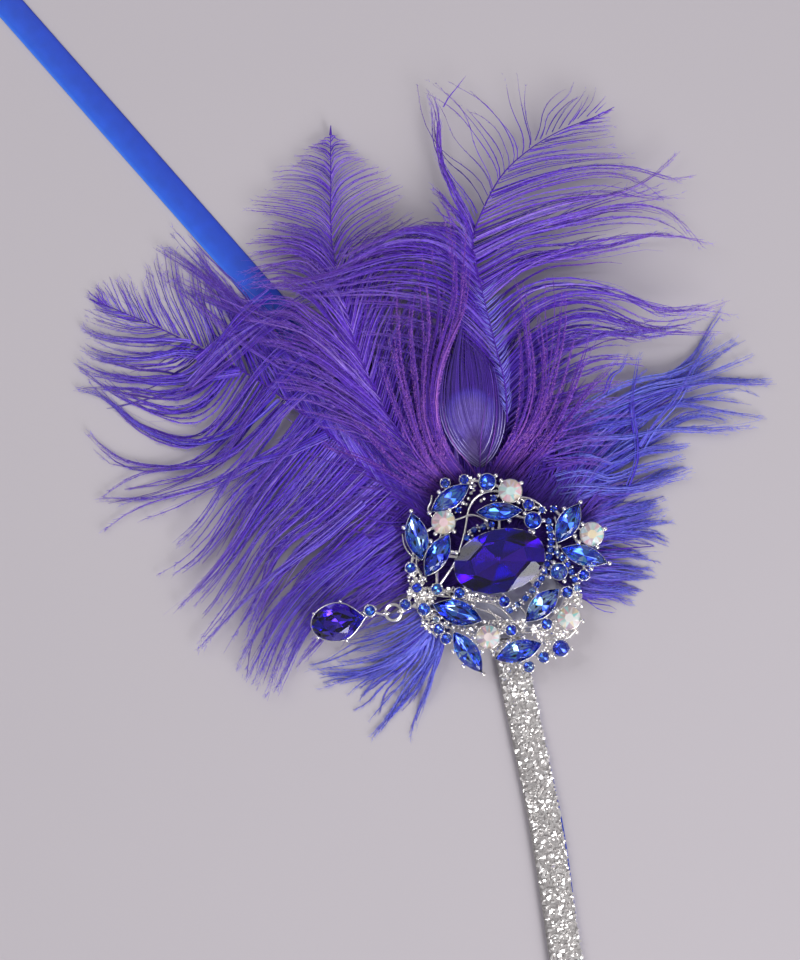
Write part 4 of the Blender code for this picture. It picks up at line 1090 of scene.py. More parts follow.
# %% The tiny stones and the drop's setting
def tiny_stones():
    """The tiny stones of the rails, in one mesh."""
    bm = bmesh.new()
    size = 2 * TINY_RADIUS
    for number, (x, y) in enumerate(INNER_RAIL + OUTER_RAIL + UPPER_RAIL + SINGLE_TINY):
        plan = ("round", x, y, 17.0 * number, size, size)
        stone = cut_stone(plan, WIRE_LEVEL + TINY_LEVEL, TINY_HEIGHT, 700 + number, folds=TINY_FOLDS)
        bm.from_mesh(stone)
    return mesh_from(bm, "tiny stones")


add_piece("tiny_stones", [tiny_stones()], *BLUE[:2])

RING_CENTRE = (-34.4, -15.3)
RING_RADIUS = 2.6
RING_WIRE = 0.64
LOOP_RADIUS = 1.35
LOOP_WIRE = 0.56
LOOP_TURN = 9.0
LINK_LEVEL = 8.1


def link_loop(silver, side):
    """The upright loop through the jump ring on one side. Gives the place where its bar starts."""
    c = math.cos(math.radians(LOOP_TURN)) * side
    s = math.sin(math.radians(LOOP_TURN)) * side
    x = RING_CENTRE[0] + RING_RADIUS * c
    y = RING_CENTRE[1] + RING_RADIUS * s
    points = []
    for step in range(RING_STEPS + 1):
        angle = 2 * math.pi * step / RING_STEPS
        out = LOOP_RADIUS * math.cos(angle)
        points.append((x + out * c, y + out * s, LINK_LEVEL + LOOP_RADIUS * math.sin(angle)))
    silver.rim(points, LOOP_WIRE)
    return x + LOOP_RADIUS * c, y + LOOP_RADIUS * s, LINK_LEVEL


root = link_loop(brooch_silver, 1)
brooch_silver.wire((root, (*stone_place("s15"), WIRE_LEVEL)), LINK_RADIUS)
add_piece("brooch_silver", brooch_silver.meshes(), [SILVER], "silver", ["brooch_frame"])

ring_line = outline_ring("round", *RING_CENTRE, 0.0, 2 * RING_RADIUS, 2 * RING_RADIUS, LINK_LEVEL)
ring_mesh = tubes([smooth_line(ring_line, RIM_POINTS)], RING_WIRE, RIM_SIDES)
add_piece("jump_ring_wire", [ring_mesh], [SILVER], "silver", ["jump_ring"])


def drop_silver():
    """The teardrop's rim, seat and claws, the cup of its small stone and the loop at its top."""
    silver = Silver()
    length, width = DROP_SIZE
    for grow, level, radius in ((0.3, 9.5, 0.27), (-2.2, 6.5, 0.55)):
        silver.rim(outline_ring("drop", *DROP_PLACE, DROP_TURN, length + grow, width + grow, level), radius)
    for along, side in ((-0.42, 1), (-0.42, -1), (0.10, 1), (0.10, -1)):
        px = along * length
        py = side * (width / 2 * math.sqrt(1.0 - (2 * along) ** 2) + 0.75)
        points = []
        for share_x, share_y, level in ((0.8, 0.8, 6.5), (1.06, 1.02, 8.2), (1.0, 0.96, 10.7)):
            points.append((*turned(*DROP_PLACE, DROP_TURN, px * share_x, py * share_y), level))
        silver.wire(points, CLAW_RADIUS)
        silver.ball(*points[-1], 0.62)
    low = (*turned(*DROP_PLACE, DROP_TURN, length * 0.36, 0.0), 6.5)
    tip = (*turned(*DROP_PLACE, DROP_TURN, length * 0.5, 0.0), 7.4)
    cup = (drop_x, drop_y, WIRE_LEVEL)
    silver.wire((low, tip, cup), 0.6)
    for grow, level, radius in ((0.3, 9.8, 0.28), (-0.6, 8.6, 0.5)):
        size = drop_size + grow
        silver.rim(outline_ring("round", drop_x, drop_y, 0.0, size, size, level), radius)
    silver.corner_balls(drop_x, drop_y, 20.0, drop_size / 2 + 0.25, 10.1, 0.42)
    silver.wire((link_loop(silver, -1), cup), LINK_RADIUS)
    return [mesh for mesh in silver.meshes() if mesh.vertices]


add_piece("drop_silver", drop_silver(), [SILVER], "silver", ["drop_setting"])
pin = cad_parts["brooch_pin"]
pin.data.materials.clear()
pin.data.materials.append(SILVER)

# %% [markdown]
# ## Feathers
# A plume is a quill with hundreds of soft barbs. On the real ones the barbs leave the quill one by one,
# then curve and gather into pointed locks, and that gathering is what the eye reads as a feather. Each barb
# is itself a loose wavy rope: a shaft with a fringe of short fine barbules. So each side of a quill is
# steered by a few guide barbs, listed from the quill's root to its tip; every barb is a mix of its two
# neighbours that drifts towards a lock as it runs out, and it is laid as a few long strands with short
# needles beside them. A feather card with a picture on it would be flat from the side and needs an image,
# and Blender's hair isn't part of the exported mesh, so strands and needles are real thin tubes with three
# sides.

# %% How high each plume lies
PLUME_LEVELS = {
    # the height of the barbs, of the tips, then where the rise and the fall start and end, from the brooch
    "left": (3.6, 0.5, 34, 58, 92, 125),
    "top_mid": (7.6, 2.2, 34, 56, 95, 150),
    "top_right": (10.6, 3.9, 31, 50, 95, 165),
    "right": (3.0, 0.5, 33, 54, 78, 98),
    "low_right": (0.5, 0.5, 27, 46, 90, 100),
    "low_left": (0.5, 0.5, 36, 56, 90, 100),
    "peacock": (14.0, 14.0, 30, 44, 110, 120),
}
QUILL_LEVEL = 6.0


def plume_height(name, places):
    """The height of a plume's middle at places (…, 2), all in millimetres."""
    layer, tips, rise_start, rise_end, fall_start, fall_end = PLUME_LEVELS[name]
    reach = np.linalg.norm(places, axis=-1)
    rise = ease(rise_start, rise_end, reach)
    fall = ease(fall_start, fall_end, reach)
    return QUILL_LEVEL + (layer - QUILL_LEVEL) * rise + (tips - layer) * fall


# %% Barbs between guides
BARB_POINTS = 11
BARB_SIDES = 3
QUILL_POINTS = 40
QUILL_SIDES = 6
LOWEST = 0.12
FINE_POINTS = 48
# Painted shade near the brooch: its centre and reach. Painted highlight to the right: where it fades in
# across and up.
SHADE_CENTRE = (-1.5, 5.0)
SHADE_REACH = (22.0, 37.0)
HIGHLIGHT_ACROSS = (12.0, 40.0)
HIGHLIGHT_UP = (105.0, 60.0)
ROOT_SHARE = 0.65
CALM_SHARE = 0.75
LOCK_DRIFT = 1.1
THIN_WITHIN = 0.25


def at_spot(lines, rows, spot):
    """Places on chosen lines, at point numbers that may lie between two points."""
    step = np.minimum(spot.astype(int), lines.shape[1] - 2)
    part = (spot - step)[..., None]
    return lines[rows, step] * (1 - part) + lines[rows, step + 1] * part


def barbs(guides, per_mm, seed, clump=0.8, locks_per_mm=0.22, stray=0.06, spread=1.0, reach=(0.8, 1.03),
          wave=0.5, full=1.0):
    """The middle lines of one side's barbs, in the plane, and how far along the quill each one starts.

    Beyond the share full of the quill they lie calm and evenly, as near a feather's tip.
    """
    rng = np.random.default_rng(seed)
    shapes = np.array([smooth_line(guide, FINE_POINTS) for guide in guides])
    gaps = np.linalg.norm(np.diff(shapes[:, 0], axis=0), axis=1)
    tip_gaps = np.linalg.norm(np.diff(shapes[:, -1], axis=0), axis=1)
    weights = np.concatenate([[0.0], np.cumsum(ROOT_SHARE * gaps + (1.0 - ROOT_SHARE) * tip_gaps)])
    count = max(int(weights[-1] * per_mm), 2)
    evenly = (np.arange(count) + rng.uniform(0.0, 1.0, count)) / count * weights[-1]
    at = np.interp(evenly, weights, np.arange(len(guides)))
    extra = np.interp(
        rng.uniform(0.0, weights[-1], int(weights[-1] * locks_per_mm)), weights, np.arange(len(guides))
    )
    locks = np.sort(np.concatenate([np.arange(len(guides)), extra]))
    own = np.abs(at[:, None] - locks[None, :]).argmin(axis=1)
    lock_side = rng.normal(0.0, 1.0, len(locks)) * spread
    lock_reach = rng.uniform(0.90, 1.02, len(locks))
    t = np.linspace(0.0, 1.0, BARB_POINTS)
    calm = 1.0 - CALM_SHARE * ease(full, full + 0.2, at / (len(guides) - 1))[:, None]
    pull = clump * calm * ease(0.15, 1.0, t)[None, :] * rng.uniform(0.75, 1.1, (count, 1))
    loose = rng.uniform(0.0, 1.0, (count, 1)) < stray
    pull = np.where(loose, pull * 0.2, pull)
    mixed = at[:, None] + (locks[own] - at)[:, None] * pull
    mixed = np.clip(mixed, 0.0, len(guides) - 1.0001)
    low = mixed.astype(int)
    share = (mixed - low)[..., None]
    length = rng.uniform(reach[0], reach[1], (count, 1)) * lock_reach[own][:, None]
    length = np.minimum(length, 1.0)
    spot = t[None, :] * length * (FINE_POINTS - 1)
    line = at_spot(shapes, low, spot) * (1 - share) + at_spot(shapes, low + 1, spot) * share
    ripple = np.sin(t[None, :] * rng.uniform(7.0, 19.0, (count, 1)) + rng.uniform(0.0, 6.3, (count, 1)))
    bend = rng.normal(0.0, 1.0, (count, 1)) * np.where(loose, 2.6, 0.6) * spread
    drift = lock_side[own][:, None] * ease(0.3, 1.0, t)[None, :] * LOCK_DRIFT
    swing = t[None, :] ** 1.5 * bend + ease(0.0, 0.4, t)[None, :] * ripple * wave + drift
    return line + sideways(line) * (calm * swing)[..., None], at / (len(guides) - 1)


def sideways(line):
    """A unit step to the left of each place on lines in the plane."""
    ahead = np.gradient(line, axis=1)
    ahead /= np.linalg.norm(ahead, axis=2)[..., None] + 1e-9
    return np.stack([-ahead[..., 1], ahead[..., 0]], axis=2)


# %% Strands and barbules of a barb
def thinned(start, full, tip):
    """What share of its growth a barb has: all of it up to the share full of the quill, then down to tip."""
    last = tip if full < 1.0 else 1.0
    return np.interp(start, (0.0, full, min(full + THIN_WITHIN, 1.001)), (1.0, 1.0, last))


def strands(middle, start, seed, count=5.0, full=1.0, tip=0.5, width=0.42):
    """Long strands that wind round the middle lines: the lines, the barb of each, and its tone's shift."""
    rng = np.random.default_rng(seed)
    wanted = count * thinned(start, full, tip)
    number = np.floor(wanted + rng.uniform(0.0, 1.0, len(middle))).astype(int)
    barb = np.repeat(np.arange(len(middle)), number)
    t = np.linspace(0.0, 1.0, BARB_POINTS)[None, :]
    side = rng.uniform(-1.0, 1.0, (len(barb), 1))
    winding = np.sin(rng.uniform(0.0, 6.3, (len(barb), 1)) + rng.uniform(4.0, 10.0, (len(barb), 1)) * t)
    across = width * (1.0 - 0.6 * t) * (0.65 * side + 0.35 * winding)
    line = middle[barb] + sideways(middle)[barb] * across[..., None]
    own = rng.uniform(0.80, 1.0, (len(barb), 1)) * t * (BARB_POINTS - 1)
    line = at_spot(line, np.arange(len(barb))[:, None], own)
    return line, barb, rng.normal(0.0, 0.15, len(middle))[barb] + 0.13 * side[:, 0]


def barbules(middle, start, seed, per_mm=1.0, full=1.0, tip=0.9, length=(1.4, 3.4), lean=(0.25, 0.6)):
    """Short straight needles that lean out from the middle lines, in the same form as the strands."""
    rng = np.random.default_rng(seed)
    reach = np.linalg.norm(np.diff(middle, axis=1), axis=2).sum(axis=1)
    wanted = reach * per_mm * thinned(start, full, tip)
    barb = np.repeat(np.arange(len(middle)), wanted.astype(int))
    spot = rng.uniform(0.08, 0.97, len(barb)) * (BARB_POINTS - 1)
    base = at_spot(middle, barb, spot)
    step = spot.astype(int)
    ahead = middle[barb, step + 1] - middle[barb, step]
    ahead /= np.linalg.norm(ahead, axis=1)[:, None] + 1e-9
    angle = rng.uniform(*lean, len(barb)) * rng.choice((-1.0, 1.0), len(barb))
    turned_ahead = np.stack([
        ahead[:, 0] * np.cos(angle) - ahead[:, 1] * np.sin(angle),
        ahead[:, 0] * np.sin(angle) + ahead[:, 1] * np.cos(angle),
    ], axis=1)
    far = rng.uniform(*length, len(barb)) * (1.0 - 0.5 * spot / BARB_POINTS)
    line = np.stack([base, base + turned_ahead * far[:, None]], axis=1)
    return line, barb, rng.normal(0.0, 0.15, len(barb))


# %% Lines to a plume
def near_brooch(line):
    """The mask of the painted shade: one close to the brooch, where the feathers are painted dark, and nought
    away from it.
    """
    return 1.0 - ease(*SHADE_REACH, np.linalg.norm(line - SHADE_CENTRE, axis=-1))


def barb_mesh(name, made, seed, width=0.15, level=0.0, thick=0.9, tone=0.5, blue=0.3):
    """Tubes for strands or barbules, on the plume's height and each barb at a slightly different one."""
    line, barb, shift = made
    rng = np.random.default_rng(seed)
    count = len(line)
    t = np.linspace(0.0, 1.0, line.shape[1])[None, :]
    lift = rng.uniform(-thick, thick, barb.max() + 1)[barb][:, None] + rng.uniform(-0.15, 0.15, (count, 1))
    height = plume_height(name, line) + level + lift * (0.35 + 0.65 * np.sin(np.pi * np.clip(t, 0.0, 0.75)))
    height = np.maximum(height, LOWEST)
    radius = width * rng.uniform(0.75, 1.2, (count, 1)) * (1.0 - 0.72 * t**1.5)
    place = line[:, line.shape[1] // 2]
    # Painted highlight: towards the right, below the top plumes, the barbs are painted bluer and a little
    # lighter.
    bluer = ease(*HIGHLIGHT_ACROSS, place[:, 0]) * ease(*HIGHLIGHT_UP, place[:, 1])
    own_blue = np.clip(blue + 0.45 * bluer[:, None] + rng.normal(0.0, 0.15, (count, 1)), 0.0, 1.0)
    lighter = 0.10 * bluer + 0.6 * max(blue - 0.35, 0.0) + shift
    own_tone = np.clip(tone + lighter + rng.normal(0.0, 0.08, count), 0.0, 1.0)[:, None]
    along = t if line.shape[1] > 2 else 0.5
    points = np.concatenate([line, height[..., None]], axis=2)
    # The near value is the mask of the painted shade close to the brooch.
    return tubes(
        points, radius, BARB_SIDES, tone=own_tone, along=along, near=near_brooch(line), blue=own_blue
    )


def quill_mesh(name, route, thick, level=0.3):
    """The quill: one tapering tube on the plume's height."""
    line = smooth_line(route, QUILL_POINTS)[None]
    t = np.linspace(0.0, 1.0, QUILL_POINTS)[None, :]
    points = np.concatenate([line, (plume_height(name, line) + level)[..., None]], axis=2)
    points[..., 2] = np.maximum(points[..., 2], thick)
    return tubes(
        points, thick * (1.0 - 0.75 * t), QUILL_SIDES, tone=0.15, along=0.4 * t, near=near_brooch(line),
        blue=0.0,
    )


# %% [markdown]
# ## The dyed feather finish
# Dyed ostrich is a deep blue-violet, more purple at the thin tips. Near the brooch, where the barbs stand
# close over each other, they are painted dark: a painted shade. Towards the right, below the top plumes,
# they are painted bluer and lighter: a painted highlight. Four values stored on each barb carry that: its
# own tone, how blue it is from its dye and the painted highlight, the distance along it and how near it is
# to the brooch. The peacock's long barbs have the same build in a purple dye, and their short barbules are
# so much lighter that they flash pink.

# %% Feather materials
def feather_material(name, dark, middle, light, tip):
    """Barbs that go from dark to light by their tone, towards another colour at the tips."""
    material, shader = new_material(
        name, middle, Roughness=0.55, Specular_IOR_Level=0.22, Sheen_Weight=0.2, Sheen_Roughness=0.35,
        Sheen_Tint=(0.45, 0.35, 1.0),
    )
    tree = material.node_tree
    tone = attribute(tree, "tone")
    blue = attribute(tree, "blue")
    purple = ramp(tree, tone, ((0.0, dark), (0.5, middle), (1.0, light)))
    bluer = ramp(tree, tone, (
        (0.0, (0.5 * dark[0], 1.3 * dark[1], 1.1 * dark[2])),
        (0.5, (0.5 * middle[0], 1.2 * middle[1], middle[2])),
        (1.0, (0.45 * light[0], 0.85 * light[1], light[2])),
    ))
    color = painted(tree, purple, blue, bluer)
    fade = node(tree, "ShaderNodeMapRange", {
        "Value": attribute(tree, "along"), "From Min": 0.45, "To Max": 0.75,
    })
    tips = painted(tree, tip, blue, (0.5 * tip[0], 1.3 * tip[1], 1.2 * tip[2]))
    color = painted(tree, color, fade.outputs["Result"], tips)
    # Painted shade: close to the brooch the barbs are painted near their darkest colour.
    color = painted(tree, color, attribute(tree, "near"), tuple(0.8 * shade for shade in dark))
    mottled(material, shader, color, 900.0, 0.9)
    return material


OSTRICH = feather_material(
    "ostrich", (0.045, 0.009, 0.26), (0.190, 0.050, 0.80), (0.54, 0.34, 1.0), (0.29, 0.115, 0.57)
)
HERL = feather_material(
    "peacock_herl", (0.050, 0.009, 0.22), (0.18, 0.038, 0.57), (0.70, 0.24, 0.84), (0.18, 0.033, 0.52)
)

# %% Guide barbs: the left plume
LEFT_QUILL = route("-11,7 -20,13 -38,26 -55,42 -75,57.5 -92,67.5 -110,76.5 -124,82.5 -133,86")
LEFT_LOWER = routes(
    "-10,4 -22,-3 -34,-9 -48,-16 -58,-24 -64,-31", "-14,8 -26,0 -38,-8 -52,-18 -62,-28 -67,-35",
    "-18,12 -30,2 -44,-10 -58,-22 -66,-32 -70,-39", "-24,15 -38,5 -50,-6 -62,-17 -70,-30 -75,-43",
    "-30,20 -46,5 -57,-6 -67,-15 -74,-28 -78,-41", "-34,23 -50,8 -63,-3 -73,-14 -79,-28 -80,-39.5",
    "-38,26 -54,13 -66,3 -76,-10 -82,-25 -86,-36", "-43,31 -58,16 -72,5 -80,-10 -88,-22 -94,-32",
    "-48,36 -62,20 -75,8 -85,-10 -92,-20 -98,-28", "-53,40 -66,24 -78,10 -88,-6 -95,-16 -104,-22",
    "-58,45 -70,30 -80,16 -88,4 -98,-8 -110,-19", "-63,49 -74,34 -85,24 -92,14 -102,3 -119,-5",
    "-68,53 -78,40 -90,28 -105,22 -120,18 -131,9", "-72,56 -83,42 -95,30 -110,23 -120,21 -134,17",
    "-76,58 -86,43 -97,34 -110,31 -124,33 -136,45", "-80,61 -90,46 -100,38.5 -112,42 -124,50 -137,64",
    "-85,64 -94,52 -104,48 -116,51 -128,57 -137.5,65", "-89,66 -98,57 -108,55 -118,56 -129,56 -139,55.5",
    "-93,68 -101,61 -111,60 -122,61 -131,63 -138,66", "-98,71 -106,66.5 -115,65 -124,66 -131,68 -137,70.5",
    "-103,73 -110,70.5 -118,70.5 -126,71.5 -132,74 -137,76.5",
    "-108,75.5 -114,74.5 -121,75 -127,76 -132,77.5 -136,79",
    "-114,78 -119,78.5 -124,80 -128,81.5 -131,83 -134,85", "-131,85.4 -132,85.7 -133,86.2 -134,86.6",
)
LEFT_FAN = routes(
    "-7,-1 -17,-7 -28,-11.5 -38,-14.5 -47,-20 -54,-28", "-8,1 -19,-5 -31,-9.5 -42,-14 -51,-20 -58,-29",
    "-10,4 -22,-1 -34,-6 -45,-12 -55,-20 -62,-30", "-12,8 -24,3 -37,-4 -49,-13 -59,-23 -66,-33",
)
LEFT_UPPER = routes(
    "-12,10 -21,25 -31,38 -42,50 -54,62 -64,72", "-15,11 -26,28 -38,41 -50,54 -62,66 -74,74",
    "-20,13 -32,30 -44,44 -56,58 -68,68 -82,76", "-38,26 -48,42 -58,56 -70,70 -82,80 -98,88",
    "-46,33 -56,50 -66,64 -75,76 -92,87 -115,95.5", "-53,40 -62,55 -72,70 -82,83 -95,94 -110,105",
    "-60,46 -68,60 -77,74 -87,88 -97,100 -107,112", "-70,54 -76,66 -82,78 -89,90 -95,98 -101,104",
    "-80,61 -84,70 -88,80 -92,89 -96,96 -99,104", "-90,66.5 -93,75 -96,83 -98,90 -98.5,97 -97,104",
    "-97,71 -100,79 -103,86 -105,93 -105.5,98 -106,104",
    "-103,74 -107,81 -110,87 -112,93 -113.5,99 -114,105", "-110,77 -112.5,82 -114,86 -115,90 -115,94",
    "-118,80 -120.5,85 -122.5,89 -124,92 -125,95", "-125,83 -127,86 -128,88.5 -129,90.5 -130,92",
    "-131,85.5 -132,86.5 -132.8,87.5 -133.4,88.3 -134,89",
)

# Ropes over the left plume: narrow single ones, then its own long locks, then some that cross the quill.
LEFT_NARROW = routes(
    "-68,52 -80,41 -87.5,34.5 -98.5,31.5 -116.8,32.1 -126.5,35.7 -134.5,43.6",
    "-70,52 -84,38 -98.5,31.5 -113.1,30.2 -122.9,26 -131.4,19.3",
    "-60,45 -74,37 -90,28 -98.5,24.4 -114.3,21.1 -124,21.4 -131.4,21.1",
    "-60,44 -76,33 -90,26 -104,22.5 -116.8,18.7 -124,14.5 -130.8,8.9",
)
LEFT_LOCKS = routes(
    "-56,42 -70,36 -82,33 -88,28 -92.6,20.2 -98.5,12 -105.6,5.4",
    "-72,54 -84,44 -98.5,39.2 -109,41 -119.8,47 -129.2,55.5 -138.5,57",
    "-84,62 -97,60.4 -109,59.3 -123.3,60.4 -131.6,62.8 -137.5,66.4",
    "-92,67 -104,69 -115,66.9 -129.2,66.9 -136.3,70.5", "-100,72 -108,72.6 -121,72.3 -131.6,74.6 -135.7,78",
    "-34,12 -50,2 -64,-6 -74,-16 -82,-28 -85,-36", "-44,20 -58,8 -72,-2 -84,-13 -94,-24 -99,-29",
    "-28,4 -44,-5 -58,-14 -66,-24 -71,-36", "-40,6 -56,-8 -66,-20 -72,-32 -76,-44",
    "-44,10 -60,-4 -72,-18 -79,-30 -83,-38", "-36,4 -52,-10 -63,-22 -69,-34 -73,-42",
    "-42,8 -58,-6 -69,-19 -76,-31 -80,-41",
)
LEFT_CROSSING = routes(
    "-38,44 -46,48 -53,52 -62,58.7 -71,63.5 -84,72 -98,84 -112,96",
    "-40,46 -54,58 -66,68 -80,79 -92,89 -104,99 -112,104",
    "-34,50 -50,64 -64,74 -80,80.5 -92.6,86 -102.5,92 -112,95",
    "-32,58 -44,62 -55,68 -66,76 -80,84 -94,93 -104,101", "-98,66 -87,75 -77,78.4 -64,86 -51,92.7 -40,98",
    "-100,58 -90,68 -80,76 -68,82 -55,86 -42,88", "-58,80 -70,71 -80,61 -88,50 -96,41",
    "-52,74 -64,66 -76,54 -85,42 -92,31", "-66,84 -78,74 -89,64 -99,57 -110,53",
    "-48,66 -60,58 -73,46 -83,33 -90,21", "-42,60 -56,50 -68,38 -78,26 -84,14",
    "-74,88 -84,80 -92,70 -98,60 -106,52",
)
TOP_LOCKS = routes(
    "0,62 14,76 30,81 44,76 58,75 73,75", "-5,86 9,97 24,102 42,106 58,106 71,103",
    "-8,100 8,108 26,113 42,116 56,113 66,100", "-8,106 8,113 24,118 38,120 50,126 58,134",
    "-3,119 12,125 28,128.5 44,128 56,124 64,126", "-2,72 12,84 28,88 44,85 60,81 74,85",
    "-8,98 -18,106 -30,108 -42,103 -54,98", "-6,90 -18,99 -32,100 -50,95 -66,91 -82,91",
)

# %% Guide barbs: the middle top plume
TOP_MID_QUILL = route("-8,12 -15,21 -26,34 -34,44 -45,66 -52.5,91 -54.6,108 -54.7,125 -54.8,140")
TOP_MID_LEFT = routes(
    "-20,27 -32,34 -46,42 -60,46 -72,47", "-28,37 -40,46 -52,54 -64,59 -78,60",
    "-36,48 -46,58 -56,66 -66,72 -84,75", "-42,60 -50,70 -60,79 -70,85 -88,84",
    "-46,70 -54,80 -62,88 -72,91 -90,86", "-49,80 -56,90 -64,97 -73,97 -85,93",
    "-51,87 -57,96 -65,101 -74,101 -81,100", "-52.5,93 -58,100 -65,104 -74,105 -87,104",
    "-53.5,99 -58,104.5 -65,108 -74,110 -80,110", "-54.3,105 -58,109.5 -64,112.5 -72,114 -86,115",
    "-54.6,111 -58,115 -64,117.5 -71,118.5 -79,119", "-54.7,117 -58,120.5 -63,122.5 -69,123 -76,123",
    "-54.7,122 -58,125.5 -62.5,127.5 -68,128.5 -74,128", "-54.7,127 -57,129.5 -61,131 -65,131.5 -68,131.5",
    "-54.8,131.5 -56.5,133.5 -59.5,134.5 -62.5,134.5 -65,134",
    "-54.8,135 -56,136 -57.7,136.5 -59.5,136.4 -61,136", "-54.8,138.5 -55.4,138.8 -56.1,138.6 -57,137",
)
TOP_MID_RIGHT = routes(
    "-20,27 -18,40 -17,54 -18,66 -16,80", "-30,39 -26,54 -24,66 -22,78 -17,90",
    "-38,52 -34,66 -30,78 -24,90 -15,100", "-43,62 -38,78 -33,90 -26,99 -14,108",
    "-47,73 -43,88 -37,98 -28,106 -12,109", "-49.5,82 -46,94 -40,102 -32,107 -21,110",
    "-51,88 -47.5,97 -41,103.5 -33,108.5 -24,114", "-52.5,95 -49,102 -43,107.5 -37,111.5 -27,117",
    "-53.5,101 -50.5,107 -46,111 -40,114.5 -30,119.5", "-54.3,107 -51.5,111.5 -47,115.5 -39,120 -27,125",
    "-54.6,112 -52,116.5 -47.5,120.5 -41,124 -31,127.5",
    "-54.7,117 -52.5,121.5 -48,125 -42.5,127.5 -35,129.3",
    "-54.7,122 -52.8,126 -49.5,128.8 -45,130.5 -40,131.2",
    "-54.7,127 -53.2,130.2 -50.5,132.3 -47,133.2 -43,133.2",
    "-54.8,131.5 -53.6,133.6 -51.5,134.8 -49,135 -46.5,134.5",
    "-54.8,135 -53.8,136.3 -52.3,137 -50.5,137 -48,136.5", "-54.8,138.5 -54.2,139.1 -53.4,138.9 -52,138",
)

# %% Guide barbs: the right top plume
TOP_RIGHT_QUILL = route(
    "1,13 1,25 1.8,42 1.5,57 -2,72 -6,88 -9,102 -7.5,110 0,125 10,134.5 20,140.5 30,144.5 37,148"
)
TOP_RIGHT_LEFT = routes(
    "1,25 -8,36 -18,46 -28,54 -38,60", "1.8,42 -8,54 -20,64 -34,70 -50,72",
    "1,60 -9,72 -22,80 -38,83 -56,82", "-3,76 -12,86 -26,92 -44,92 -70,88",
    "-6,88 -15,98 -28,103 -45,100 -60,90 -84,91", "-8,97 -16,106 -26,109 -36,107 -45,101",
    "-9,104 -12.5,109 -17,112.5 -20.5,115.5 -23.5,119",
    "-8.6,107 -10.5,112 -13,117 -16,123 -19,129.5 -21,136 -21.5,141 -22,147 -24.5,154",
    "-8.4,110.5 -10.3,114.8 -13.2,120 -16.8,125.6 -19.5,131.3 -21,138 -20.6,146 -22,152 -27,159.5",
    "-7,114.3 -9.8,119.5 -13.6,123.7 -16.9,127.5 -19.3,133.2 -19.6,139.8 -19.3,146 -21,150.5 -25.4,156.4",
)
TOP_RIGHT_LOOPS = routes(
    "-5.5,116 -8,121 -12,126 -16.5,129.5 -19.5,134 -21.3,140 -21,147 -24,154",
    "-4.2,119 -6.5,123.7 -10.8,128 -15,130.8 -19.5,134.5 -24,141.7 -26,149 -26.9,157",
    "-2.7,120.9 -4.2,125.6 -7.9,130.4 -12.2,134.6 -15.5,139 -17.9,145.5 -21.7,151.7",
    "-2.3,121.9 -4.2,127.5 -7,132.3 -9,138 -10,143 -13.5,149 -18.8,153.6 -22,157",
    "-0.8,123.3 -1.3,127.5 -3.7,132.3 -7.5,137.9 -11.7,143.6 -16.5,148.2 -25.9,153.6",
    "0.1,124.7 -0.4,129.4 -2.7,134.2 -6.5,140 -11,145.7 -16.9,152.1 -24.5,157.3",
    "1.5,126.1 1.0,131.3 -1.3,136 -5.1,140.8 -10,146.6 -15,150.7",
    "2.9,127.5 2.9,131.3 1.5,135.1 -0.4,139.4 -3.2,142.7 -7,145.5 -10.3,146.5",
    "4.4,129.4 4.8,132.3 3.9,136.5 1.5,141.3 -1.6,145.5 -5.6,149.6 -9.8,153.6",
    "5.5,130.8 5.8,133.2 4.4,137.9 0.8,142.6 -5.1,149.3 -10.6,152.8 -16.9,156.4",
    "7.2,132.7 7.7,136.5 6.7,140.8 4.8,145 2.9,150.2 2,155.4 0.6,159.7",
    "9.3,134.6 9.8,137 8.6,141.7 7.2,147.9 6.2,153.6 5.5,159.7",
    "10,135.6 10,138.9 8.6,143.6 7.9,150.2 8.6,156.4",
    "11.4,137 12.9,140.8 13.8,146 16.2,150.2 20,153.1 22.3,154",
    "12.9,137.5 14.3,140.8 15.2,145 18.4,148.6 22.2,152 24.2,156.9",
    "14.8,138.9 16.2,142.2 18.6,146 21.9,149.3 25.2,151.2", "16.7,139.8 19,144.1 21.9,148.3 26.1,151.7",
    "19,140.8 21.4,144.6 23.8,147.9 26.1,150.7 28,154.5", "21.9,142.2 23.8,144.6 25.6,147.4 26.6,150",
    "23.5,143.2 25.5,146 27.4,149 28.8,152", "25.2,144.1 27.5,146.9 29.9,150.2 31.3,154.5",
    "28,145 30.4,147.4 32.7,149.8 34.2,151.7", "30.9,146 32.7,147.9 34.6,149.8",
    "-18.3,147.9 -16,151.7 -13.1,155.4 -10.8,158.3",
)
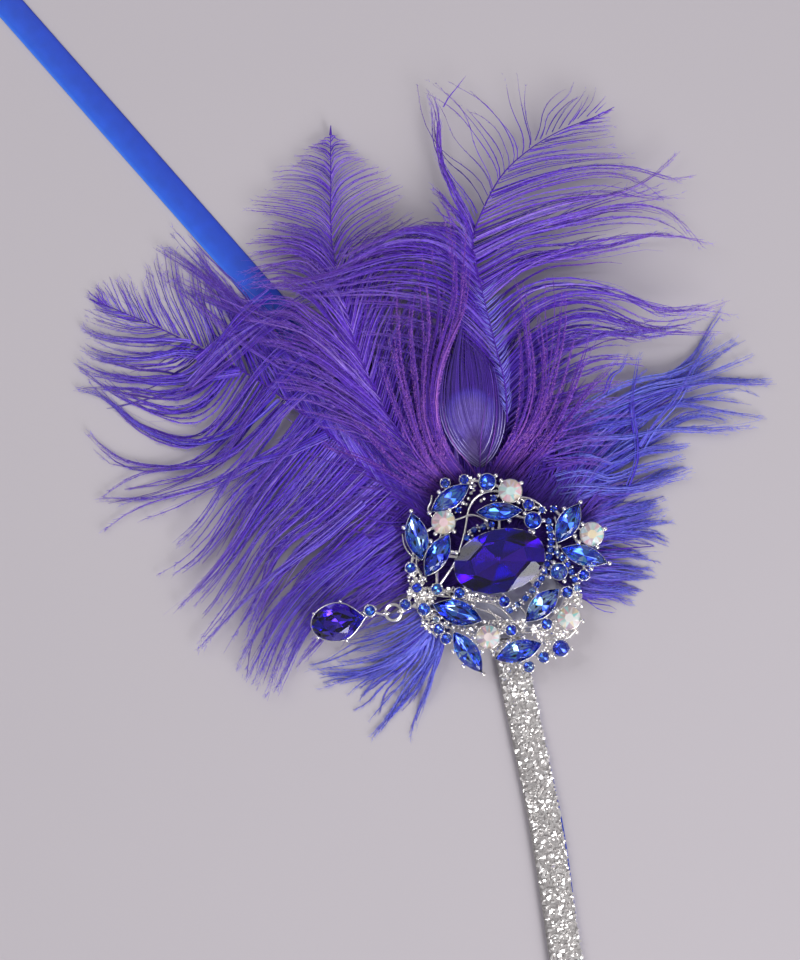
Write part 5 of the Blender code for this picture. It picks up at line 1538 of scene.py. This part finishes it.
TOP_RIGHT_RIGHT = routes(
    "1,22 10,28 20,32 30,33 40,31", "1.3,32 12,40 24,44 34,46 44,47", "1.8,42 13,50 24,56 34,59 46,60",
    "1.6,52 12,62 24,70 38,74 52,73", "0.5,62 12,73 26,79 40,76 50,72 62,77 73,74",
    "-1,69 12,82 25,85 38,82 50,77 65,80 74,85", "-3,77 10,89 24,91 40,88 52,81 65,83 79,80",
    "-4.6,83 9,92 23,93 38,89.5 51,82.5 65,84 79,80.5", "-5,85 8,95 20,99 32,101.5 42,105 52,108",
    "-7,92 8,100 24,101 36,103 50,107 60,106 70,103", "-8.5,98 8,106 22,109 38,112 50,111 60,106 66,99",
    "-9,102 6,109 18,112 32,117 44,121 58,127", "-8.7,106 6,111.5 20,116 34,119 44,125 54,134",
    "-7.5,110 6,116 20,119 34,120 48,117 62,121.5", "-6,114 6,120 18,124 30,126.5 42,126 50,120 58,111",
    "-4,118 7,122.5 18,126 30,128 45,127", "-1.5,122.5 8,126 20,129 34,131 48,131",
    "2,126.8 12,130 24,131.5 36,132 47,132", "6,130.8 14,133 23,134 31,134.6 38,135",
    "10,134.5 18,136.3 26,137.5 33,138.5 40,139.5", "16,138.3 23,140 29,141 34,141.2 39,141",
    "22,141.2 27,142.5 31,143.3 34,143.7 37,144", "29,144 32,145 34,145.7 35.6,146.2 37,146.5",
    "34,146.6 35.2,147 36.2,147.3 37,147.6 38,147.8",
)

# %% Guide barbs: the right plume and the two low ones
RIGHT_QUILL = route("8,10 18,21 33,36 50,50 62,58")
RIGHT_UPPER = routes(
    "14,18 26,38 40,54 52,59.5 63,65.7 68,75 74,85", "15,18 27,38 40,52 54,60 66.5,67.4 79,74.5",
    "16,18 28,37 42,51 60,59 72,63.6 83.5,68.5", "17,18 28,35 42,48 56,55 70,59.5 80,58.6 90,58.8",
    "18,18 30,34 44,46 56,53.5 66.5,55.3 76.4,58.6 86.3,54.8",
    "18,18 30,33 44,43 56,52 64,51.5 74.2,49.3 87.4,47.3",
)
RIGHT_LOWER = routes(
    "18,18 30,31 41,39.5 52,43.8 63,43.3 74,43.8 84,45", "18,17 29,28 40,37 50,42 58,48 66,50 78,47",
    "18,16 28,27 37,31.7 47,37.2 55.6,38.3 62,39", "17,15 26,24 36,27.3 43.5,30.6 52,33 60.5,35",
    "16,14 26,21 38,23.5 47,25.2 55.6,28.4 64,31",
)
RIGHT_LOCKS = routes(
    "20,44 30,53 43.5,59.7 55.6,61.9 66.5,67.4 79,74.5", "20,42 32,49 46.8,57 61,59.7 72,63.6 83.5,68.5",
    "19,41 35.8,50 52.3,55.9 68.7,59.2 79.7,58.6 90,58.8",
    "19,39 30,45 44.6,47 55.6,52.6 63.2,51.5 74.2,49.3 87.4,47.3",
    "19,36 30,41 41.3,40.5 52.3,43.8 63.2,43.3 74.2,43.8 84.1,45.1",
    "18,32 28,35 36.9,32 46.8,37.2 55.6,38.3 62.1,38.9",
    "18,28 27,30 35.8,27.5 43.5,30.6 52.3,32.8 60.5,35", "19,24 28,25.2 39,24 46.8,25.2 55.6,28.4 63.8,31",
    "45.7,38 51,46 57,53 63,64 70,76",
)
RIGHT_CROSSING = routes(
    "41.3,25.5 44.2,34 43.9,42.6 42.8,50 43.2,57.4 45.5,69.7", "43.9,42.6 42.5,52 44,60 47.7,63.5",
    "34,55 36,61 39.5,63.5 41,69",
)
LOW_RIGHT_QUILL = route("13,3 24,4 38,5 50,6")
LOW_RIGHT_UPPER = routes(
    "14,4 24,12 34,20 45,25 55,29 63.5,31", "15,4 26,11 36,15.5 46,18.5 53,21",
    "16,4 26,9.5 36,11.5 46,13 58,13.5", "17,3.5 27,7.5 37,8.5 47,8 55.5,4",
)
LOW_RIGHT_LOWER = routes(
    "17,3.5 27,5 37,4.5 46,3.5 54,2", "16,3 26,1 36,0 45,-1 52.5,-2.3", "15,2 24,-2 34,-4.5 43,-5 51,-6",
    "14,1 23,-5 32,-8 40,-8.5 46,-9.5", "13,0 21,-7 30,-11 37,-12 43,-15",
)
LOW_LEFT_QUILL = route("-10,-8 -18,-15 -27,-24 -36,-33")
LOW_LEFT_LEFT = routes(
    "-12,-10 -21,-13 -30,-17.5 -39,-22 -47,-25.5 -54,-31 -63,-33.5",
    "-14,-12 -23,-20 -31,-27 -38,-31.5 -46,-34 -57,-34.5 -67.7,-35.2",
    "-17,-15 -25,-24 -33,-30 -42,-34.5 -53,-36 -64.7,-37",
    "-20,-18 -28,-26.5 -37,-32.5 -47,-36.5 -56,-38.5 -63.6,-42.2",
    "-23,-21 -30,-29 -38,-34 -44,-36.5 -50.7,-41.9",
    "-22,-24 -30,-31 -37,-35.5 -41.5,-40 -45,-45 -47.3,-49.3",
    "-24,-24 -30,-33 -37,-40.5 -43,-46 -52.7,-51.6",
)
LOW_LEFT_RIGHT = routes(
    "-12,-10 -17,-22 -20,-30 -22.8,-39.8 -26,-49 -28.9,-62.6",
    "-16,-13 -19,-24 -23,-33 -29,-42 -35,-49 -43,-57",
    "-20,-17 -21,-27.5 -26.9,-35.7 -33,-44 -38,-51 -43.2,-57.8", "-23,-21 -27,-31 -33,-40 -39,-47 -46,-53",
)
LOW_LEFT_LOCKS = routes(
    "-12,-8 -22,-13 -32,-19 -41,-22.5 -50,-25", "-13,-9 -22,-16 -30,-21 -38,-25.5 -47,-27.5",
    "-13,-8 -24,-12 -34,-16.5 -42,-19.5 -49,-21", "-14,-11 -24,-20 -34,-27 -43,-31 -53,-33",
)

# %% Make the ostrich plumes
OSTRICH_PLUMES = {
    # the quill, how blue the dye looks, how far the barbs stray, how strongly they gather and in how many
    # locks for each millimetre, then each group with its barbs for each millimetre and how far it stays dense
    "left": (LEFT_QUILL, 0.35, 1.2, 0.88, 0.15, (
        (LEFT_LOWER[:12], 1.0, 1.0), (LEFT_LOWER[11:16], 0.22, 1.0), (LEFT_LOWER[15:], 0.78, 0.34),
        (LEFT_UPPER, 0.75, 0.40), (LEFT_FAN, 1.3, 1.0),
    )),
    "top_mid": (TOP_MID_QUILL, 0.05, 1.0, 0.80, 0.22, (
        (TOP_MID_LEFT, 1.15, 0.30), (TOP_MID_RIGHT, 0.85, 0.25),
    )),
    "top_right": (TOP_RIGHT_QUILL, 0.15, 1.0, 0.88, 0.17, (
        (TOP_RIGHT_LEFT[:6], 0.72, 0.80), (TOP_RIGHT_LEFT[5:], 0.52, 0.60), (TOP_RIGHT_RIGHT[:5], 1.0, 1.0),
        (TOP_RIGHT_RIGHT[4:8], 0.50, 1.0), (TOP_RIGHT_RIGHT[8:], 0.58, 0.05),
    )),
    "right": (RIGHT_QUILL, 0.55, 1.0, 0.92, 0.10, ((RIGHT_UPPER, 1.9, 1.0), (RIGHT_LOWER, 3.0, 1.0))),
    "low_right": (LOW_RIGHT_QUILL, 0.55, 1.1, 0.85, 0.15, (
        (LOW_RIGHT_UPPER, 5.5, 1.0), (LOW_RIGHT_LOWER, 6.0, 1.0),
    )),
    "low_left": (LOW_LEFT_QUILL, 0.95, 0.9, 0.95, 0.06, (
        (LOW_LEFT_LEFT, 0.9, 1.0), (LOW_LEFT_RIGHT, 0.85, 1.0),
    )),
}


def build_plume(name, quill, blue, spread, clump, locks_per_mm, sides, seed):
    """One ostrich plume: dark barbs below, the main barbs with their barbules, and loose ones above."""
    under = []
    upper = []
    for index, (guides, per_mm, full) in enumerate(sides):
        first = seed + 10 * index
        low = barbs(guides, 0.9 * per_mm, first + 1, clump=0.25, stray=0.2, spread=1.6, reach=(0.5, 0.92))
        main = barbs(guides, per_mm, first + 2, clump, locks_per_mm, spread=spread, full=full)
        high = barbs(
            guides, 0.35 * per_mm, first + 3, clump=0.5, stray=0.5, spread=1.4 * spread, reach=(0.5, 1.03)
        )
        below = strands(*low, first + 4, count=3.0, full=full, tip=0.0, width=0.7)
        under.append(barb_mesh(name, below, first + 4, 0.24, -0.7, 0.5, tone=0.24, blue=blue))
        along = strands(*main, first + 5, full=full, tip=0.32)
        upper.append(barb_mesh(name, along, first + 5, 0.165, tone=0.47, blue=blue))
        above = strands(*high, first + 6, count=1.5, full=full, tip=0.15, width=0.2)
        upper.append(barb_mesh(name, above, first + 6, 0.10, 0.5, 0.9, tone=0.75, blue=blue))
        fringe = barbules(*main, first + 7, full=full, tip=0.5)
        upper.append(barb_mesh(name, fringe, first + 7, 0.07, 0.25, 0.9, tone=0.72, blue=blue))
    upper.append(quill_mesh(name, quill, 0.5))
    add_piece("plume_" + name + "_under", under, [OSTRICH], "ostrich")
    add_piece("plume_" + name + "_barbs", upper, [OSTRICH], "ostrich", ["plume_" + name])


def traced_meshes(name, guides, seed, count, tone, blue):
    """Single barbs that follow a route each: a few strands close together, and a thin fringe."""
    middle = np.array([smooth_line(guide, BARB_POINTS) for guide in guides])
    start = np.zeros(len(guides))
    lines = strands(middle, start, seed, count=count, width=0.3)
    fringe = barbules(middle, start, seed + 1, per_mm=0.5, length=(0.8, 1.8))
    return [
        barb_mesh(name, lines, seed + 2, 0.14, 0.4, 0.5, tone=tone, blue=blue),
        barb_mesh(name, fringe, seed + 3, 0.06, 0.4, 0.5, tone=tone, blue=blue),
    ]


def rope_meshes(name, guides, copies, width, seed, tone, blue, level):
    """A rope of barbs along each route, which narrows to a point, with its fringe."""
    rng = np.random.default_rng(seed)
    whole = np.repeat(np.array([smooth_line(guide, BARB_POINTS) for guide in guides]), copies, axis=0)
    count = len(whole)
    t = np.linspace(0.0, 1.0, BARB_POINTS)[None, :]
    side = rng.uniform(-1.0, 1.0, (count, 1))
    winding = np.sin(rng.uniform(0.0, 6.3, (count, 1)) + rng.uniform(3.0, 9.0, (count, 1)) * t)
    across = width * ((1.0 - 0.8 * t) * side + 0.25 * winding + 0.5 * rng.normal(0.0, 1.0, (count, 1)) * t**3)
    middle = whole + sideways(whole) * across[..., None]
    start = np.zeros(count)
    lines = strands(middle, start, seed + 1, count=1.7, width=0.3)
    fringe = barbules(middle, start, seed + 2, per_mm=0.35)
    return [
        barb_mesh(name, lines, seed + 3, 0.16, level, 0.7, tone=tone, blue=blue),
        barb_mesh(name, fringe, seed + 4, 0.07, level, 0.9, tone=tone + 0.2, blue=blue),
    ]


for number, (name, values) in enumerate(OSTRICH_PLUMES.items()):
    build_plume(name, *values, 1000 * (number + 1))

KNOB = route("-54.8,139.0 -54.75,141.0 -54.7,142.2")
ROPES = (
    # the plume, the routes, copies of each, width, seed, tone, blue and level
    ("left", LEFT_NARROW, 6, 0.8, 7150, 0.50, 0.35, 1.0),
    ("left", LEFT_LOCKS, 10, 1.5, 7200, 0.50, 0.45, 1.0),
    ("left", LEFT_CROSSING, 9, 1.8, 7300, 0.50, 0.25, 2.0),
    ("top_right", TOP_LOCKS, 6, 1.2, 7400, 0.55, 0.1, 1.0),
    ("right", RIGHT_LOCKS, 8, 1.5, 7500, 0.70, 0.50, 1.0),
    ("right", RIGHT_CROSSING, 5, 0.8, 7600, 0.36, 0.5, 1.4),
    ("low_left", LOW_LEFT_LOCKS, 9, 2.0, 7700, 0.58, 0.90, 0.6),
)
loose_meshes = traced_meshes("top_right", TOP_RIGHT_LOOPS, 7100, 2.0, 0.35, 0.0)
for rope in ROPES:
    loose_meshes += rope_meshes(*rope)
loose_meshes.append(quill_mesh("top_mid", KNOB, 0.5))
add_piece("loose_barbs", loose_meshes, [OSTRICH], "ostrich")

# %% [markdown]
# ## Down under the brooch
# The roots of all the plumes are pressed under the brooch, where their short soft barbs fill every opening
# of the upper half with a blue that is nearly black, a painted shade that the material adds near the brooch,
# and longer down lies between the plumes. They belong to no single plume, so two fans of dark barbs, from
# the pad outwards, stand for all of them.

# %% The roots
ROOT_CENTRE = (0.0, 3.0)
ROOT_STEPS = ((4, 0.0, 0), (14, 0.0, 4), (25, 0.0, -2), (0, 1.0, 2))
ROOT_SPOKES = (
    # the angle and the reach of each guide
    (212, 28), (200, 34), (188, 37), (175, 38), (160, 42), (145, 46), (132, 48), (120, 44), (108, 40),
    (96, 38), (84, 38), (70, 38), (55, 42), (40, 44), (25, 44), (12, 40), (0, 38), (-12, 32),
)
DOWN_STEPS = ((0, 0.25, 4), (0, 0.45, -3), (0, 0.7, 3), (0, 1.0, -1))
DOWN_SPOKES = (
    (168, 64), (156, 76), (145, 88), (137, 98), (130, 102), (123, 98), (114, 94), (105, 96), (95, 92),
    (86, 84), (77, 78), (66, 72), (54, 68), (42, 62), (30, 56), (18, 50),
)


def fan(spokes, steps):
    """A guide for each spoke, stepped outwards by a fixed reach and a share of its own, with a bend."""
    guides = []
    for angle, far in spokes:
        guide = []
        for near, share, bend in steps:
            turn = math.radians(angle + bend)
            reach = near + share * far
            guide.append((ROOT_CENTRE[0] + reach * math.cos(turn), ROOT_CENTRE[1] + reach * math.sin(turn)))
        guides.append(guide)
    return guides


roots = barbs(fan(ROOT_SPOKES, ROOT_STEPS), 6.0, 8100, clump=0.3, stray=0.4, spread=1.4, reach=(0.65, 1.0))
down = barbs(
    fan(DOWN_SPOKES, DOWN_STEPS), 3.0, 8200, clump=0.3, stray=0.35, spread=1.8, reach=(0.55, 1.0), wave=0.9
)
root_strands = strands(*roots, 8101, count=3.0, width=0.8)
down_strands = strands(*down, 8201, count=3.0, width=0.9)
add_piece(
    "feather_roots", [
        barb_mesh("top_mid", root_strands, 8102, 0.22, -0.1, 0.8, tone=0.25, blue=0.2),
        barb_mesh("left", down_strands, 8202, 0.2, -0.2, 1.2, tone=0.32, blue=0.25),
    ], [OSTRICH], "ostrich",
)

# %% [markdown]
# ## The peacock eye feather
# On top lies one dyed peacock feather. Close to its quill the barbs stand so dense that they make a smooth
# sheet with the eye on it: a pale lilac fan that ends in a V, under a dark violet cap. The other barbs are
# long loose strands with short curled threads on them that flash pink. The eye's colours sit at places on
# the feather and not on single barbs, so the material finds them from Object coordinates, with five
# stretched circles.

# %% Guides of the peacock feather
PEACOCK_QUILL = route("-3.5,13 -5.5,24 -6.5,34 -8,45 -9.5,58 -11,72")
EYE_MIDDLE = route("-8.3,45 -8.6,50 -9.1,56 -9.9,63 -10.6,70 -11.1,77")
EYE_LEFT = routes(
    "-6.5,31 -10.5,33.5 -15,38 -18.4,44 -19.6,51 -19,60 -16.6,69 -12.6,78",
    "-6.8,33 -10,35.5 -13.8,40 -16.6,46 -17.4,53 -16.8,61 -14.8,70 -12.2,78.5",
    "-7.2,37 -9.4,39.5 -12,44 -13.8,50 -14.3,57 -13.9,65 -12.9,73 -11.8,79",
    "-7.7,41 -9,44 -10.7,49 -11.8,55 -12.3,62 -12.2,70 -11.6,78"
) + (EYE_MIDDLE,)
EYE_RIGHT = routes(
    "-6.5,31 -2.8,34 0,39 1.4,45 1.4,52 0.4,58 -1.5,64",
    "-6.8,33 -3.8,36 -1.6,41 -0.8,47 -0.9,54 -1.8,61 -3.6,68",
    "-7.2,37 -5.6,40 -4.2,45 -3.7,51 -4,58 -5,65 -7,72",
    "-7.7,41 -6.9,44 -6.2,49 -6.1,55 -6.8,62 -8.2,69 -9.6,75"
) + (EYE_MIDDLE,)
HERL_LEFT = routes(
    "-6,13 -18,19 -32,26 -42,32 -51,35.6 -62,39", "-6,14 -15,22 -25,29 -32.5,34 -37,40 -42,49 -45.5,59",
    "-5.8,15 -14,24 -22.5,32 -29,43 -34,56 -37,68",
    "-5.5,16 -13,24 -21.8,30 -27,41.5 -29.6,55 -32,67 -32.6,78 -33,92",
    "-5.3,17 -12,25 -20,31.5 -25,42 -27.5,55 -29,66 -29.5,78 -27,94",
    "-5,19 -11,26 -17,32 -21,41.5 -23.5,51.6 -22.7,61 -19.4,75 -15.5,88 -22,118",
    "-5,20 -10,27 -15.5,33 -19.8,41.5 -22,51 -21.2,61 -18,73 -13.4,87 -13,124",
    "-5,22 -9.5,28 -14.5,33.5 -19,41 -21,50 -20.4,60 -17.4,71 -12.6,81",
)
HERL_RIGHT = routes(
    "-4.6,23 -3.5,31 -0.5,36 3.4,43 5.6,52 6.6,62 6,73 3.6,85",
    "-4.6,22 -3,30 1.4,36 7.2,44 10.6,54 10.6,65 8.7,76 6.8,89 2.5,98",
    "-4.4,20 -1.5,29 3,36 9,44.5 12.6,55 12.5,66 10.9,77 9.5,90 10,100",
    "-4.2,18 0,28 5,35 11,44 15.2,53.3 16.9,61.7 19.5,71.8 20.3,83.6 19,96",
    "-4,16 1,27 7,35 13,43 18,53 20.5,62 23,72 25,84 27,93",
    "-3.8,15 2.5,26 8.5,33 16,41.5 22,52 25.5,62 28.5,72 32.9,83.6",
    "-3.6,14 3.5,25 9.5,32 18,41.5 28.7,56.7 34,62 40.5,68.5",
    "-3.5,14 4.5,24 11,31 20,40 31,52 38,57 45,63",
)
# Short ribs beside the bare quill of the top right plume, which shows on top of the eye's right side.
RIB_QUILL = route("2.2,46 1.4,58 -2,72 -5.9,88 -8.6,101")
RIBS_LEFT = routes(
    "2.1,48 0.9,50 -0.4,51.6", "0.9,60 -0.9,61.6 -2.9,62.4", "-2,72 -4.4,73.6 -6.8,74",
    "-5.9,88 -8.4,89.6 -11,90",
)
RIBS_RIGHT = routes(
    "2.1,48 3,50.4 3.6,53", "0.9,60 2.4,62.4 3.6,65.4", "-2,72 0.4,74.4 2.6,77.6",
    "-5.9,88 -3.2,90.4 -0.6,93.6",
)
EYE_STRANDS = routes(
    "-6.3,27 -6.4,34 -6.1,42 -4.6,51.6 -2.9,58.4", "-5.6,24 -4.6,32 -2.4,40 -1.2,50 -2.2,62",
    "-6.4,26 -9.5,32 -14.5,38 -17.8,46 -18.4,55",
)

# %% The eye's colours
PALE_EYE = ((-9.6, 47.6), (6.5, 6.9))
EGG_RIM = ((-9.6, 49.2), (7.7, 7.4))
NOTCH = ((-8.2, 38.2), (3.0, 5.4))
DARK_CAP = ((-10.5, 67.0), (11.5, 16.5))
ARC_REACH = ((-8.6, 39.0), (15.0, 13.0))
ARC_STEP = 0.085


def spot_mask(tree, centre, radii, edge):
    """One inside an ellipse on the feather, nought outside, with a soft edge."""
    place = node(tree, "ShaderNodeTexCoord")
    scale = [1.0 / (radius * MM) for radius in radii]
    mapping = node(tree, "ShaderNodeMapping", {
        "Vector": place.outputs["Object"], "Scale": (*scale, 0.0),
        "Location": (-centre[0] * MM * scale[0], -centre[1] * MM * scale[1], 0.0),
    })
    length = node(tree, "ShaderNodeVectorMath", {0: mapping.outputs["Vector"]}, operation="LENGTH")
    fade = node(tree, "ShaderNodeMapRange", {
        "Value": length.outputs["Value"], "From Min": 1.0 + edge, "From Max": 1.0 - edge,
    })
    return fade.outputs["Result"]


def eye_material():
    """The dense barbs round the eye: violet, with a dark cap and the pale lilac fan under it."""
    material, shader = new_material(
        "peacock_eye", (0.10, 0.03, 0.40), Roughness=0.45, Specular_IOR_Level=0.5, Sheen_Weight=0.3,
        Sheen_Roughness=0.3, Sheen_Tint=(0.6, 0.5, 1.0),
    )
    tree = material.node_tree
    tone = attribute(tree, "tone")
    color = ramp(tree, tone, ((0.0, (0.04, 0.010, 0.24)), (1.0, (0.12, 0.040, 0.52))))
    arcs = ramp(tree, tone, (
        (0.0, (0.03, 0.008, 0.18)), (0.6, (0.09, 0.035, 0.44)), (1.0, (0.56, 0.50, 0.98)),
    ))
    cap = ramp(tree, tone, (
        (0.0, (0.025, 0.004, 0.16)), (0.55, (0.088, 0.022, 0.46)), (1.0, (0.24, 0.11, 0.80)),
    ))
    pale = ramp(tree, tone, (
        (0.0, (0.10, 0.05, 0.38)), (0.5, (0.20, 0.13, 0.60)), (1.0, (0.45, 0.38, 0.92)),
    ))
    for (centre, radii), edge, above in (
        (ARC_REACH, 0.3, arcs), (DARK_CAP, 0.15, cap), (EGG_RIM, 0.14, (0.105, 0.055, 0.60)),
        (PALE_EYE, 0.26, pale), (NOTCH, 0.5, (0.070, 0.030, 0.22)),
    ):
        color = painted(tree, color, spot_mask(tree, centre, radii, edge), above)
    # Painted shade: close to the brooch the barbs are painted nearly black.
    color = painted(tree, color, attribute(tree, "near"), (0.006, 0.002, 0.03))
    mottled(material, shader, color, 1200.0, 0.5)
    return material


PEACOCK_EYE = eye_material()

# %% Make the peacock feather
eye_meshes = []
for index, guides in enumerate((EYE_LEFT, EYE_RIGHT)):
    first = 9100 + 10 * index
    middle, start = barbs(guides, 7.0, first, clump=0.1, stray=0.02, spread=0.15, wave=0.06, reach=(0.9, 1.0))
    line, barb, shift = strands(middle, start, first + 1, count=2.0, width=0.12)
    outside = start[barb] < 0.42
    shift = shift + np.where(
        outside & (np.sin(2 * np.pi * start[barb] / ARC_STEP) > 0.7), 0.5, -0.24 * outside
    )
    eye_meshes.append(barb_mesh("peacock", (line, barb, shift), first + 2, 0.19, -0.35, 0.3, tone=0.42))
eye_meshes.append(quill_mesh("peacock", PEACOCK_QUILL, 0.25, level=-1.0))
add_piece("peacock_eye_barbs", eye_meshes, [PEACOCK_EYE], "peacock", ["plume_peacock"])

herl_meshes = []
for index, guides in enumerate((HERL_LEFT, HERL_RIGHT)):
    first = 9200 + 10 * index
    herl = barbs(guides, 1.3, first, clump=0.78, locks_per_mm=0.12, stray=0.14, spread=0.8, wave=0.3)
    shafts = strands(*herl, first + 1, count=3.0, width=0.34)
    herl_meshes.append(barb_mesh("peacock", shafts, first + 2, 0.20, 0.3, 0.8, tone=0.42))
    threads = barbules(*herl, first + 3, per_mm=2.4, length=(0.5, 1.0), lean=(0.5, 1.2))
    herl_meshes.append(barb_mesh("peacock", threads, first + 4, 0.10, 0.6, 0.8, tone=0.80))
herl_meshes += traced_meshes("peacock", EYE_STRANDS, 9300, 2.0, 0.6, 0.1)
add_piece("peacock_herl", herl_meshes, [HERL], "peacock")

rib_meshes = [quill_mesh("peacock", RIB_QUILL, 0.3, level=0.9)]
for index, guides in enumerate((RIBS_LEFT, RIBS_RIGHT)):
    ribs = barbs(guides, 1.3, 9400 + 10 * index, clump=0.0, stray=0.0, spread=0.1, wave=0.05)
    lines = strands(*ribs, 9401 + 10 * index, count=1.5, width=0.2)
    rib_meshes.append(barb_mesh("peacock", lines, 9402 + 10 * index, 0.13, 0.8, 0.2, tone=0.80, blue=0.7))
add_piece("quill_ribs", rib_meshes, [OSTRICH], "ostrich")
